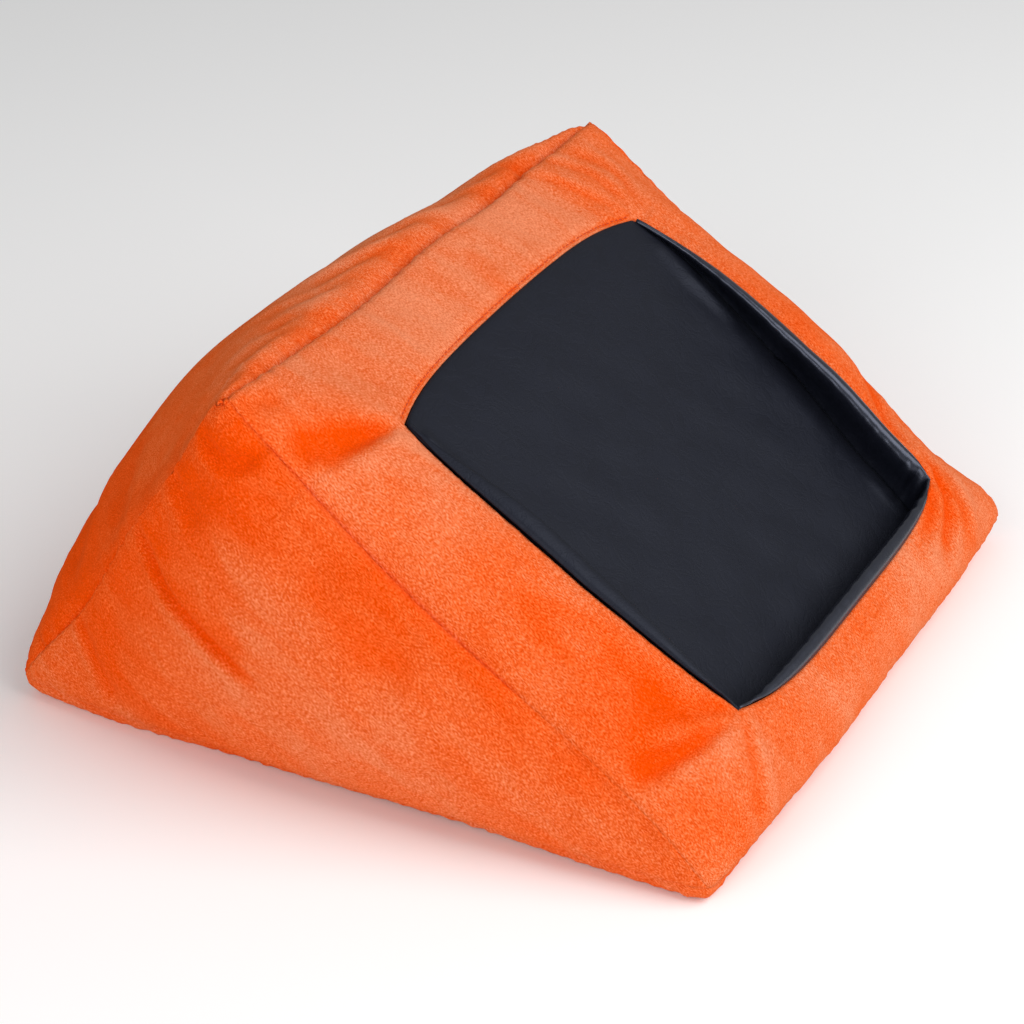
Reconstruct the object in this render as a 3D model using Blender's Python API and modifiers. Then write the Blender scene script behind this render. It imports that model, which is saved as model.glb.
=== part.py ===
"""Tablet cushion stand: a bead-filled plush wedge whose sunken rest holds a tablet at a slant.

The cushion stands on the ground with its front towards -Y and its width along X.
"""

import math

import bmesh
import bpy
from mathutils import Matrix, Vector

# Cushion, seam to seam
BASE_WIDTH = 0.366
BASE_DEPTH = 0.356
RIDGE_WIDTH = 0.359
RIDGE_HEIGHT = 0.182
RIDGE_FROM_BACK = 0.1137
RIDGE_BLUNT = 0.008  # the tip of each end panel is cut off this far down each side
SEAM_LIFT = 0.008  # the base seams hang this far above the ground

# Swell of the filled panels above their flat outlines
FRONT_CROWN = 0.032
BACK_CROWN = 0.035
END_CROWN = 0.024
END_SEAM_BOW = 0.003
FRONT_SEAM_WAVE = 0.005
BACK_SEAM_DRAW = 0.006
RIDGE_DIP = 0.004
NOSE_RISE_SHARE = 0.27  # powers of swell(): how fast a crown rises and how slowly it fades
NOSE_FADE_SHARE = 0.8
BACK_RISE_SHARE = 0.75
BACK_FADE_SHARE = 0.55
END_RISE_SHARE = 0.6
END_FADE_SHARE = 1.1
DIP_FADE_SHARE = 2.0
SEAM_WAVE_SHARE = 0.75
LOCAL_SHARE = 4.0
BASE_ROUNDING = 0.010
FRONT_LOW_SHARE = 1.6  # powers of plateau(): how late the front falls to its ends, low down and high up
FRONT_HIGH_SHARE = 3.2
PARABOLA_SHARE = 2.0
BACK_FLAT_SHARE = 0.25
BACK_FLAT_OVERRUN = 0.018  # the back stays straight this far past the zip's ends

# Cloth, leatherette and the seams that join them
CLOTH = 0.0016
LEATHER = 0.0012
LINER = 0.0006
SEAM_ALLOWANCE = 0.006
CORNER_TRIM = 0.026  # seams are trimmed thin this far from the cushion's corners
TRIM_LEAST_SHARE = 0.08
GAP = 0.0003
BAG_CLEARANCE = 0.0045  # the bag is sewn this much smaller than the cover all round
BAG_SEAM_ROOM = 0.0018  # the bag's panels end this far from the middle of their seams
FILL_GAP = 0.0022  # the beads stay this far off the bag's panels, and further in its seams
FILL_CLEARANCE = 0.004

# Tablet rest, sized round the tablet that it holds
TABLET_LENGTH = 0.240
TABLET_WIDTH = 0.1695
REST_SIDE_CLEARANCE = 0.004
REST_FOOT_CLEARANCE = 0.0018
REST_TILT = math.radians(39.2)
REST_FROM_FRONT = 0.0927  # the middle of the tablet's back, from the front seam
REST_ABOVE_SEAM = 0.0845
WINDOW_WIDTH = 0.236
WINDOW_SIDE_BOW = 0.008
WINDOW_FOOT_SHARE = 0.153
WINDOW_FOOT_BOW_SHARE = 0.034
WINDOW_HEAD_SHARE = 0.798
WINDOW_HEAD_BOW_SHARE = 0.035
CORNER_SHARE = 4.0  # power of the window's bowed edges: higher gives squarer corners
FOOT_WALL_BULGE = 0.006
SIDE_WALL_BULGE = 0.003
WALL_RISE_SHARE = 3.0
WALL_FADE_SHARE = 1.0
PAD_THICKNESS = 0.010
PAD_EDGE = 0.002
FLAT_FLOOR_SHARE = 0.8  # share of the floor's run that stays flat below its rounded head
FLOOR_EDGE = 0.0025  # the seams draw the floor's edges down this far in from its walls
FLOOR_EDGE_DROP = 0.0005

# Zip across the back
ZIP_SHARE = 0.125
ZIP_LENGTH = 0.266
SLOT_WIDTH = 0.0104
SLOT_OVERRUN = 0.012
SLOT_TAPER = 0.004
TAPE = 0.0008
TAPE_WIDTH = 0.0125
TAPE_OVERRUN = 0.0125
TOOTH_PITCH = 0.0035
TOOTH_CLEARANCE = 0.0003
TOOTH_REACH = 0.001  # how far a tooth passes the zip's middle
TOOTH_TIP = 0.0005
TOOTH_FLARE_SHARE = 0.35  # a tooth widens by this share of its length towards its head
CHAIN_HALF_WIDTH = 0.0024
CHAIN_THICKNESS = 0.0024
CORD_WIDTH = 0.0009
SLIDER_LENGTH = 0.0125
SLIDER_WIDTH = 0.0092
SLIDER_TAIL_WIDTH = 0.0076
SLIDER_CORNER = 0.0016
SHIELD = 0.001
FLANGE_EDGE = 0.0003
RUNNING_GAP = 0.0003
NECK_WIDTH = 0.0016
NECK_LENGTH = 0.0026
NECK_SETBACK = 0.0008
SLIDER_HOLD = 0.0075  # length of chain inside the slider when the zip is shut
BAIL_LENGTH = 0.004
BAIL_HEIGHT = 0.0025
BAIL_BAR = 0.0011
BAIL_WIDTH = 0.0018
BAIL_SETBACK = 0.0062  # middle of the bail, from the slider's front
PULL_LENGTH = 0.026
PULL_WIDTH = 0.0072
PULL_TIP_WIDTH = 0.006
PULL_THICKNESS = 0.0013
PULL_EYE_LENGTH = 0.0056
PULL_EYE_WIDTH = 0.0042
PULL_BAR = 0.0014
PULL_HOLE_RADIUS = 0.0013
PULL_CORNER = 0.0012
STOP_LENGTH = 0.002
STOP_WIDTH = 0.0014
STOP_THICKNESS = 0.0036
BOX_LENGTH = 0.0045
CUTTER_OVERRUN = 0.001

# Grid lines of the panels, finer on the cover than on what lies inside it
COVER_SIDE_SHARES = (0.24, 0.52, 0.78, 0.94, 1.0)
COVER_WINDOW_COLUMNS = 12
COVER_NOSE_SHARES = (0.06, 0.2, 0.42, 0.7, 1.0)
COVER_WINDOW_SHARES = (0.04, 0.16, 0.34, 0.58, 0.8, 0.91, 1.0)
COVER_HEAD_SHARES = (0.35, 0.7, 1.0)
REST_RUN_SHARES = (0.0, *COVER_WINDOW_SHARES)
COVER_BACK_SHARES = (0.07, 0.15, 0.24, 0.33, 0.42, 0.51, 0.6, 0.69, 0.78, 0.86, 0.93)
COVER_END_SHARES = (0.014, 0.09, 0.2, 0.34, 0.5, 0.66, 0.8, 0.91, 0.986, 1.0)
INNER_SIDE_SHARES = (0.24, 0.6, 1.0)
INNER_WINDOW_COLUMNS = 4
INNER_NOSE_SHARES = (0.25, 0.72, 1.0)
INNER_WINDOW_SHARES = (0.4, 0.83, 0.9, 1.0)
INNER_HEAD_SHARES = (0.3, 1.0)
INNER_BACK_SHARES = (0.1, 0.28, 0.48, 0.68, 0.86)
INNER_END_SHARES = (0.07, 0.28, 0.5, 0.72, 0.93, 1.0)
TIP_SHARE = 0.25  # an end panel's lines from this share to the rest of 1 meet in its blunted tip
BELOW_ZIP_SHARE = 0.5
WALL_STEPS = 6
ARC_STEPS = 8
HOLE_SEGMENTS = 16
WELD = 0.00001
SHELL_LIMIT = 1.6  # keeps sharp folds from running away when a skin is sunk
SHARP_ANGLE = math.radians(40)

PLUSH = ("plush", (0.95, 0.16, 0.01), 0.95, 0.0)
LEATHERETTE = ("leatherette", (0.02, 0.022, 0.028), 0.45, 0.0)
CALICO = ("calico", (0.78, 0.76, 0.70), 0.9, 0.0)
BEADS = ("beads", (0.92, 0.92, 0.92), 0.7, 0.0)
FOAM = ("foam", (0.55, 0.56, 0.58), 0.95, 0.0)
TAPE_CLOTH = ("zip_tape", (0.85, 0.14, 0.01), 0.85, 0.0)
TEETH = ("zip_teeth", (0.85, 0.16, 0.02), 0.4, 0.0)
METAL = ("zip_metal", (0.72, 0.72, 0.70), 0.3, 1.0)

FRONT_FOOT = Vector((0, -BASE_DEPTH / 2, SEAM_LIFT))
BACK_FOOT = Vector((0, BASE_DEPTH / 2, SEAM_LIFT))
RIDGE = Vector((0, BASE_DEPTH / 2 - RIDGE_FROM_BACK, SEAM_LIFT + RIDGE_HEIGHT))
X_AXIS = Vector((1, 0, 0))
Z_AXIS = Vector((0, 0, 1))
FRONT_NORMAL = X_AXIS.cross(RIDGE - FRONT_FOOT).normalized()
BACK_NORMAL = X_AXIS.cross(BACK_FOOT - RIDGE).normalized()
REST_UP = Vector((0, math.cos(REST_TILT), math.sin(REST_TILT)))
REST_NORMAL = X_AXIS.cross(REST_UP)
REST_CENTRE = FRONT_FOOT + Vector((0, REST_FROM_FRONT, REST_ABOVE_SEAM))


def clear_scene():
    for scene_object in list(bpy.data.objects):
        bpy.data.objects.remove(scene_object, do_unlink=True)


def swell(share, rise, fade):
    """A hump over 0 to 1 with its top at 1, leaning towards 0 when rise is under fade."""
    share = min(max(share, 0.0), 1.0)
    top = rise / (rise + fade)
    return share**rise * (1 - share) ** fade / (top**rise * (1 - top) ** fade)


def plateau(share, flat, power=PARABOLA_SHARE):
    """1 across the middle, falling to 0 at either end of -1 to 1."""
    past = min(1.0, max(0.0, abs(share) - flat) / (1 - flat))
    return 1 - past**power


def mix(start, end, share):
    return start + (end - start) * share


def half_width(height):
    """Half the cushion's width at a height, between its two end panels."""
    share = (height - SEAM_LIFT) / RIDGE_HEIGHT
    return mix(BASE_WIDTH, RIDGE_WIDTH, share) / 2


def half_width_at_zip():
    return half_width(mix(BACK_FOOT, RIDGE, ZIP_SHARE).z)


# Section of the cushion at an end: shares run from a base seam up to the ridge


def blunt_share(foot):
    return 1 - RIDGE_BLUNT / (RIDGE - foot).length


def blunt_tip():
    front = mix(FRONT_FOOT, RIDGE, blunt_share(FRONT_FOOT))
    back = mix(BACK_FOOT, RIDGE, blunt_share(BACK_FOOT))
    return (front + back) / 2


def front_seam(share):
    """Seam between the front and an end: it rises over the nose and sags above it."""
    if share >= 1:
        return blunt_tip()
    wave = FRONT_SEAM_WAVE * math.sin(2 * math.pi * share**SEAM_WAVE_SHARE)
    return mix(FRONT_FOOT, RIDGE, share) + FRONT_NORMAL * wave


def back_seam(share):
    """Seam between the back and an end, drawn in by the filling's pull."""
    if share >= 1:
        return blunt_tip()
    drawn = BACK_SEAM_DRAW * swell(share, BACK_RISE_SHARE, BACK_FADE_SHARE)
    return mix(BACK_FOOT, RIDGE, share) - BACK_NORMAL * drawn


def ridge_dip(across, share):
    dip = RIDGE_DIP * swell(1 - abs(across), 1.0, DIP_FADE_SHARE)
    return dip * share**LOCAL_SHARE


def end_bow(share, height):
    """How far an end's base seam is pushed out, share of the way back and fading upwards."""
    fade = max(0.0, 1 - (height - SEAM_LIFT) / RIDGE_HEIGHT) ** LOCAL_SHARE
    return END_SEAM_BOW * plateau(2 * share - 1, 0.0) * fade


def end_swell(point):
    """How far an end panel stands out of its flat outline at a place on it."""
    height = min(1.0, max(0.0, (point.z - SEAM_LIFT) / RIDGE_HEIGHT))
    front, back = mix(FRONT_FOOT.y, RIDGE.y, height), mix(BACK_FOOT.y, RIDGE.y, height)
    deep = (point.y - front) / max(back - front, RIDGE_BLUNT)
    swollen = swell(4 * deep * (1 - deep), 1.0, 0.0) * swell(height, END_RISE_SHARE, END_FADE_SHARE)
    return END_CROWN * swollen + end_bow(deep, point.z)


def front_point(across, share):
    """Outside of the front panel: across runs -1 to 1, share runs from base seam to ridge."""
    flat_share = (WINDOW_WIDTH / 2 + WINDOW_SIDE_BOW) / (BASE_WIDTH / 2)
    crown = FRONT_CROWN * swell(share, NOSE_RISE_SHARE, NOSE_FADE_SHARE)
    straight = mix(FRONT_FOOT, RIDGE, share) if share < 1 else blunt_tip()
    fullness = plateau(across, flat_share, mix(FRONT_LOW_SHARE, FRONT_HIGH_SHARE, share))
    point = mix(front_seam(share), straight + FRONT_NORMAL * crown, fullness)
    point.z -= ridge_dip(across, share)
    point.x = across * half_width(point.z)
    return point


def back_point(across, share):
    """Outside of the back panel: the zip keeps it straight low down, and it rounds off above."""
    zip_flat = (ZIP_LENGTH / 2 + BACK_FLAT_OVERRUN) / half_width_at_zip()
    above_zip = min(1.0, max(0.0, share - 2 * ZIP_SHARE) / (1 - 4 * ZIP_SHARE))
    flat_share = mix(zip_flat, BACK_FLAT_SHARE, above_zip)
    crown = BACK_CROWN * swell(share, BACK_RISE_SHARE, BACK_FADE_SHARE)
    straight = mix(BACK_FOOT, RIDGE, share) if share < 1 else blunt_tip()
    point = mix(back_seam(share), straight + BACK_NORMAL * crown, plateau(across, flat_share))
    point.z -= ridge_dip(across, share)
    point.x = across * half_width(point.z)
    return point


def slot_opening():
    """Half the zip slot's width as a share of the way up the back."""
    low = back_point(0.0, ZIP_SHARE * (1 - ZIP_SHARE))
    high = back_point(0.0, ZIP_SHARE * (1 + ZIP_SHARE))
    return SLOT_WIDTH * ZIP_SHARE * ZIP_SHARE / (high - low).length


def base_point(across, share):
    """Underside: it hangs from its seams and lies flat on the ground across its middle."""
    flat_across = 1 - BASE_ROUNDING / (BASE_WIDTH / 2)
    flat_deep = 1 - BASE_ROUNDING / (BASE_DEPTH / 2)
    lying = plateau(across, flat_across) * plateau(2 * share - 1, flat_deep)
    point = mix(FRONT_FOOT, BACK_FOOT, share)
    point.z = SEAM_LIFT * (1 - math.sqrt(lying))
    point.x = across * (BASE_WIDTH / 2 + end_bow(share, SEAM_LIFT))
    return point


# Window in the front panel: side runs -1 to 1 across it, run from 0 at its foot to 1 at its head


def window_half_width(run):
    return WINDOW_WIDTH / 2 + WINDOW_SIDE_BOW * (1 - abs(2 * run - 1) ** CORNER_SHARE)


def window_share(side, run):
    """Share up the front panel of a place in the window."""
    bow = 1 - min(1.0, abs(side)) ** CORNER_SHARE
    foot = WINDOW_FOOT_SHARE - WINDOW_FOOT_BOW_SHARE * bow
    head = WINDOW_HEAD_SHARE + WINDOW_HEAD_BOW_SHARE * bow
    return mix(foot, head, run)


def rim_point(side, run):
    """A place on the window's edge, on the outside of the front panel."""
    across = side * window_half_width(run) / (BASE_WIDTH / 2)
    return front_point(across, window_share(side, run))


def rest_point(side, run):
    """Top of the rest's floor: flat under the tablet, rounding off to meet the window's head."""
    half = TABLET_LENGTH / 2 + REST_SIDE_CLEARANCE
    if run > 0.5:
        half = min(half, rim_point(1, run).x - LEATHER - 2 * GAP)
    head = rim_point(side, 1.0) - REST_CENTRE
    foot_reach = -TABLET_WIDTH / 2 - REST_FOOT_CLEARANCE
    reach = mix(foot_reach, head.dot(REST_UP) - GAP, run)
    rounding = max(0.0, run - FLAT_FLOOR_SHARE) / (1 - FLAT_FLOOR_SHARE)
    drop = head.dot(REST_NORMAL) * rounding**2
    return REST_CENTRE + X_AXIS * side * half + REST_UP * reach + REST_NORMAL * drop


def wall_foot(side, run):
    """Where the outside of a recess wall meets the level of the floor."""
    point = rest_point(side, run)
    if abs(side) == 1:
        point += X_AXIS * side * (LEATHER + GAP)
    if run == 0:
        point -= REST_UP * (LEATHER + GAP)
    return point


def wall_lean(side, run):
    """Unit vector down the back of the recess wall from the window's edge."""
    down = wall_foot(side, run) - rim_point(side, run)
    if run == 1 or down.length < SEAM_ALLOWANCE:
        return -REST_NORMAL
    return down.normalized()


class Lines:
    """Grid lines of the five panels. Neighbours share them, so their seams match point for point."""

    def __init__(self, sides, window_columns, nose, window, head, back, ends, slotted):
        self.sides = sides
        self.window_columns = window_columns
        self.nose = (0.0, *nose)
        self.window = window
        self.head = head
        self.back_rows = back
        self.ends = (0.0, *ends)
        self.end_columns = len(ends)
        self.slotted = slotted
        self.columns = window_columns + 2 * len(sides)
        self.window_row = len(nose)
        self.head_row = len(nose) + len(window)
        self.tip_row = self.head_row + len(head) + 1

    def side(self, column):
        """Place across the window, held at -1 or 1 beyond it."""
        side = (column - self.columns / 2) / (self.window_columns / 2)
        return max(-1.0, min(1.0, side))

    def run(self, row):
        if row <= self.window_row:
            return 0.0
        if row >= self.head_row:
            return 1.0
        return self.window[row - self.window_row - 1]

    def across(self, column, run):
        """Share of the cushion's half width at a column, which follows the window's sides."""
        window = window_half_width(run) / (BASE_WIDTH / 2)
        past = round(abs(column - self.columns / 2) - self.window_columns / 2)
        if past <= 0:
            return self.side(column) * window
        return self.side(column) * mix(window, 1.0, self.sides[past - 1])

    def front_share(self, column, row):
        side = self.side(column)
        if row <= self.window_row:
            return window_share(side, 0.0) * self.nose[row]
        if row <= self.head_row:
            return window_share(side, self.run(row))
        if row == self.tip_row:
            return 1.0
        rise = self.head[row - self.head_row - 1]
        return mix(window_share(side, 1.0), blunt_share(FRONT_FOOT), rise)

    def front(self, column, row):
        across = self.across(column, self.run(row))
        return front_point(across, self.front_share(column, row))

    def past_window(self, column):
        """How many columns past the window a column lies."""
        return max(0, round(abs(column - self.columns / 2) - self.window_columns / 2))

    def back(self, column, row):
        """A crossing of the back's lines: two rows part at the zip, between its slot's ends."""
        across, opening = self.across(column, 0.0), slot_opening()
        if self.slotted and row in (2, 3) and self.past_window(column) > 0:
            slot_end = (ZIP_LENGTH / 2 + SLOT_OVERRUN) / half_width_at_zip()
            if self.past_window(column) == 1:
                across = math.copysign(slot_end - SLOT_TAPER / half_width_at_zip(), across)
            else:
                opening = 0.0
            if self.past_window(column) == 2:
                across = math.copysign(slot_end, across)
        if row < 2:
            return back_point(across, ZIP_SHARE * BELOW_ZIP_SHARE * row)
        if row < 4:
            return back_point(across, ZIP_SHARE + (opening if row == 3 else -opening))
        if row == self.tip_row:
            return back_point(across, 1.0)
        rise = (*self.back_rows, 1.0)[row - 4]
        low = ZIP_SHARE + slot_opening()
        return back_point(across, mix(low, blunt_share(BACK_FOOT), rise))

    def base(self, column, row):
        return base_point(self.across(column, 0.0), self.ends[row])

    def end(self, column, row, side):
        """A crossing on an end panel, which swells outwards between its three seams."""
        front_corner = self.front(self.columns, row)
        back_corner = self.back(self.columns, row)
        place = self.ends[column]
        if row == self.tip_row - 1 and TIP_SHARE <= place <= 1 - TIP_SHARE:
            point = self.front(self.columns, self.tip_row)
        elif row == self.tip_row - 1:
            point = mix(front_corner, back_corner, round(place))
        else:
            point = mix(front_corner, back_corner, place)
            if 0 < place < 1:
                point.x += end_swell(point)
        point.x *= side
        return point


def add_grid(cloth, columns, rows, place, panel_of):
    """Adds a sheet of quads to cloth and returns the column and row of each of its corners."""
    made = bmesh.ops.create_grid(cloth, x_segments=columns, y_segments=rows, size=1)
    lines = {}
    for vert in made["verts"]:
        column = round((vert.co.x + 1) / 2 * columns)
        row = round((vert.co.y + 1) / 2 * rows)
        lines[vert] = column, row
    for vert in made["verts"]:
        for face in vert.link_faces:
            face.material_index = panel_of(*min(lines[corner] for corner in face.verts))
        vert.co = place(*lines[vert])
    return lines


PANELS = ("front", "back_upper", "back_lower", "base", "end_left", "end_right", "window", "slot")


def envelope(lines, finish):
    """The cushion's whole skin as one closed mesh. Each face's material index is its panel.

    finish(cloth, crossings) may move the corners before the seams are welded.
    """
    cloth = bmesh.new()
    cloth.verts.layers.float_vector.new("turn")
    panel = PANELS.index

    def front_panel(column, row):
        across = lines.past_window(column) + lines.past_window(column + 1) == 0
        window = across and lines.window_row <= row < lines.head_row
        return panel("window") if window else panel("front")

    def back_panel(column, row):
        if row == 2:
            return panel("slot")
        return panel("back_lower") if row < 2 else panel("back_upper")

    rows, columns, depth = lines.tip_row, lines.columns, lines.end_columns
    crossings = {
        "front": add_grid(cloth, columns, rows, lines.front, front_panel),
        "back": add_grid(cloth, columns, rows, lines.back, back_panel),
        "base": add_grid(cloth, columns, depth, lines.base, lambda column, row: panel("base")),
    }
    for name, side in (("end_left", -1), ("end_right", 1)):
        crossings[name] = add_grid(
            cloth,
            depth,
            rows - 1,
            lambda column, row, side=side: lines.end(column, row, side),
            lambda column, row, name=name: panel(name),
        )
    finish(cloth, crossings)
    bmesh.ops.remove_doubles(cloth, verts=cloth.verts, dist=WELD)
    bmesh.ops.dissolve_degenerate(cloth, dist=WELD, edges=cloth.edges)
    bmesh.ops.recalc_face_normals(cloth, faces=cloth.faces)
    cloth.normal_update()
    return cloth


FLAT_NORMALS = {
    "front": FRONT_NORMAL,
    "back_upper": BACK_NORMAL,
    "back_lower": BACK_NORMAL,
    "base": -Z_AXIS,
    "end_left": -X_AXIS,
    "end_right": X_AXIS,
}


def directions(vert):
    """The flat normals of the cushion's sides that meet at a corner of its skin."""
    panels = {PANELS[face.material_index] for face in vert.link_faces} - {"window", "slot"}
    return {FLAT_NORMALS[name].freeze() for name in panels}


def corners_of(skin):
    return [vert.co.copy() for vert in skin.verts if len(directions(vert)) > 2]


def trim_share(point, corners):
    """Share of its thickness and seam allowance that cloth keeps near the cushion's corners."""
    nearest = min((point - corner).length for corner in corners)
    return min(1.0, max(TRIM_LEAST_SHARE, nearest / CORNER_TRIM))


def trim(sheet, corners):
    """Thins a thickened sheet towards the cushion's corners."""
    kept = sheet.vertex_groups.new(name="trim")
    for vert in sheet.data.vertices:
        kept.add([vert.index], trim_share(vert.co, corners), "REPLACE")
    sheet.modifiers["thickness"].vertex_group = kept.name


def seam_lean(vert):
    """Unit vector from a seam into the cushion, midway between the flat panels that meet there.

    It has no length where the corner lies inside a panel.
    """
    panels = {PANELS[face.material_index] for face in vert.link_faces}
    if len(panels) < 2:
        return Vector()
    met = sorted(panels - {"window", "slot"})
    return -sum((FLAT_NORMALS[name] for name in met), Vector()).normalized()


# Objects


def material(look):
    name, colour, roughness, metallic = look
    made = bpy.data.materials.get(name)
    if made:
        return made
    made = bpy.data.materials.new(name)
    made.use_nodes = True
    made.diffuse_color = (*colour, 1)
    shader = made.node_tree.nodes["Principled BSDF"]
    shader.inputs["Base Color"].default_value = (*colour, 1)
    shader.inputs["Roughness"].default_value = roughness
    shader.inputs["Metallic"].default_value = metallic
    return made


def collection(name):
    made = bpy.data.collections.get(name)
    if not made:
        made = bpy.data.collections.new(name)
        bpy.context.scene.collection.children.link(made)
    return made


def add_object(name, data, look, group="tablet_cushion_stand"):
    made = bpy.data.objects.new(name, data)
    data.materials.clear()
    data.materials.append(material(look))
    collection(group).objects.link(made)
    return made


def mesh_object(name, cloth, look, smooth=True):
    for face in cloth.faces:
        face.material_index = 0
        face.smooth = smooth
    data = bpy.data.meshes.new(name)
    cloth.to_mesh(data)
    cloth.free()
    data.set_sharp_from_angle(angle=SHARP_ANGLE)
    return add_object(name, data, look)


def thicken(sheet, thickness, outwards=False, even=True):
    solid = sheet.modifiers.new("thickness", "SOLIDIFY")
    solid.thickness = thickness
    solid.offset = 1 if outwards else -1
    solid.use_even_offset = even
    return sheet


# Cover


def cover_skin():
    """The cover's skin: each corner holds which way its seam allowance turns in."""

    def note_window(cloth, crossings):
        turn = cloth.verts.layers.float_vector["turn"]
        for vert, (column, row) in crossings["front"].items():
            inside = COVER_LINES.past_window(column) == 0
            if inside and COVER_LINES.window_row <= row <= COVER_LINES.head_row:
                vert[turn] = wall_lean(COVER_LINES.side(column), COVER_LINES.run(row))

    cloth = envelope(COVER_LINES, note_window)
    turn = cloth.verts.layers.float_vector["turn"]
    for vert in cloth.verts:
        if Vector(vert[turn]).length == 0:
            vert[turn] = seam_lean(vert)
    raw = cloth.edges.layers.int.new("raw")
    for edge in cloth.edges:
        beside = {face.material_index for face in edge.link_faces}
        edge[raw] = len(beside) == 2 and PANELS.index("slot") in beside
    return cloth


def keep_panel(cloth, name, setback):
    """Leaves one panel of a skin, set back from its seams' own planes."""
    turn = cloth.verts.layers.float_vector["turn"]
    others = [face for face in cloth.faces if face.material_index != PANELS.index(name)]
    bmesh.ops.delete(cloth, geom=others, context="FACES")
    border = [edge for edge in cloth.edges if edge.is_boundary]
    planes = {}
    for edge in border:
        start, end = edge.verts
        across = (end.co - start.co).cross(Vector(start[turn]) + Vector(end[turn])).normalized()
        if across.dot(edge.link_faces[0].calc_center_median() - start.co) < 0:
            across.negate()
        for vert in edge.verts:
            planes.setdefault(vert, []).append(across)
    for vert, normals in planes.items():
        total = sum(normals, Vector())
        vert.co += total * setback * len(normals) / max(total.length_squared, 1.0)
    return border


def cover_panel(skin, name, corners):
    """One panel of the cover, its edges turned in along the seams and left cut along the zip."""
    cloth = skin.copy()
    border = keep_panel(cloth, name, GAP / 2)
    raw = cloth.edges.layers.int["raw"]
    turn = cloth.verts.layers.float_vector["turn"]
    turned = [edge for edge in border if not edge[raw]]
    kept = {vert: vert.index for vert in cloth.verts}
    made = bmesh.ops.extrude_edge_only(cloth, edges=turned)["geom"]
    for part in made:
        if isinstance(part, bmesh.types.BMVert):
            part.co += Vector(part[turn]) * SEAM_ALLOWANCE * trim_share(part.co, corners)
    for part in made:
        if isinstance(part, bmesh.types.BMFace):
            around = list(part.verts)
            first = min((vert for vert in around if vert in kept), key=kept.get)
            bmesh.utils.face_split(part, first, around[around.index(first) - 2])
    trim(thicken(mesh_object("cover_" + name, cloth, PLUSH), CLOTH, even=False), corners)


def build_cover():
    skin = cover_skin()
    for name in PANELS[:6]:
        cover_panel(skin, name, corners_of(skin))
    skin.free()


# Tablet rest


def build_floor():
    """Leatherette that the tablet lies on, its edges drawn down into the seams round it."""
    floor = bmesh.new()
    edge = FLOOR_EDGE / (TABLET_LENGTH / 2 + REST_SIDE_CLEARANCE)
    inner = [2 * column / COVER_WINDOW_COLUMNS - 1 for column in range(1, COVER_WINDOW_COLUMNS)]
    sides = [-1, edge - 1, *inner, 1 - edge, 1]

    def place(column, row):
        point = rest_point(sides[column], REST_RUN_SHARES[row])
        if abs(sides[column]) == 1 or row == 0:
            point -= REST_NORMAL * FLOOR_EDGE_DROP
        return point

    add_grid(floor, len(sides) - 1, len(REST_RUN_SHARES) - 1, place, lambda column, row: 0)
    bmesh.ops.recalc_face_normals(floor, faces=floor.faces)
    border = [edge for edge in floor.edges if edge.is_boundary]
    for part in bmesh.ops.extrude_edge_only(floor, edges=border)["geom"]:
        if isinstance(part, bmesh.types.BMVert):
            part.co -= REST_NORMAL * SEAM_ALLOWANCE
    bmesh.ops.recalc_face_normals(floor, faces=floor.faces)
    return thicken(mesh_object("rest_floor", floor, LEATHERETTE), LEATHER)


def wall_point(side, run, step, inwards, bulge):
    """Back of a recess wall: step 0 is the floor's level, step 1 the window's edge.

    The filling swells it over the recess, most of all just below the edge.
    """
    foot = wall_foot(side, run)
    if step < 0:
        return foot - REST_NORMAL * SEAM_ALLOWANCE
    swollen = bulge * swell(step, WALL_RISE_SHARE, WALL_FADE_SHARE)
    return mix(foot, rim_point(side, run) + inwards * GAP, step) + inwards * swollen


def add_wall(name, along, place):
    wall = bmesh.new()
    add_grid(wall, along, WALL_STEPS + 1, place, lambda column, row: 0)
    bmesh.ops.recalc_face_normals(wall, faces=wall.faces)
    middle = sum((face.normal for face in wall.faces), Vector())
    centre = sum((vert.co for vert in wall.verts), Vector()) / len(wall.verts)
    if middle.dot(REST_CENTRE - centre) < 0:
        bmesh.ops.reverse_faces(wall, faces=wall.faces)
    return thicken(mesh_object(name, wall, LEATHERETTE), LEATHER, outwards=True)


def build_walls():
    """Leatherette walls on three sides of the rest, which run out towards its head."""
    for name, side in (("rest_wall_left", -1), ("rest_wall_right", 1)):

        def side_place(column, row, side=side):
            run = REST_RUN_SHARES[column]
            bulge = SIDE_WALL_BULGE * (1 - abs(2 * run - 1) ** CORNER_SHARE)
            return wall_point(side, run, (row - 1) / WALL_STEPS, -X_AXIS * side, bulge)

        add_wall(name, len(REST_RUN_SHARES) - 2, side_place)

    def foot_place(column, row):
        """The two end columns stop short of the side walls."""
        side = 2 * column / COVER_WINDOW_COLUMNS - 1
        bulge = FOOT_WALL_BULGE * (1 - abs(side) ** CORNER_SHARE)
        point = wall_point(side, 0.0, (row - 1) / WALL_STEPS, REST_UP, bulge)
        if abs(side) < 1:
            return point
        short = (LEATHER + 2 * GAP) / (2 * window_half_width(0.0) / COVER_WINDOW_COLUMNS)
        inner = side * (1 - 2 / COVER_WINDOW_COLUMNS)
        bulge = FOOT_WALL_BULGE * (1 - abs(inner) ** CORNER_SHARE)
        return mix(point, wall_point(inner, 0.0, (row - 1) / WALL_STEPS, REST_UP, bulge), short)

    add_wall("rest_wall_foot", COVER_WINDOW_COLUMNS, foot_place)


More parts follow.
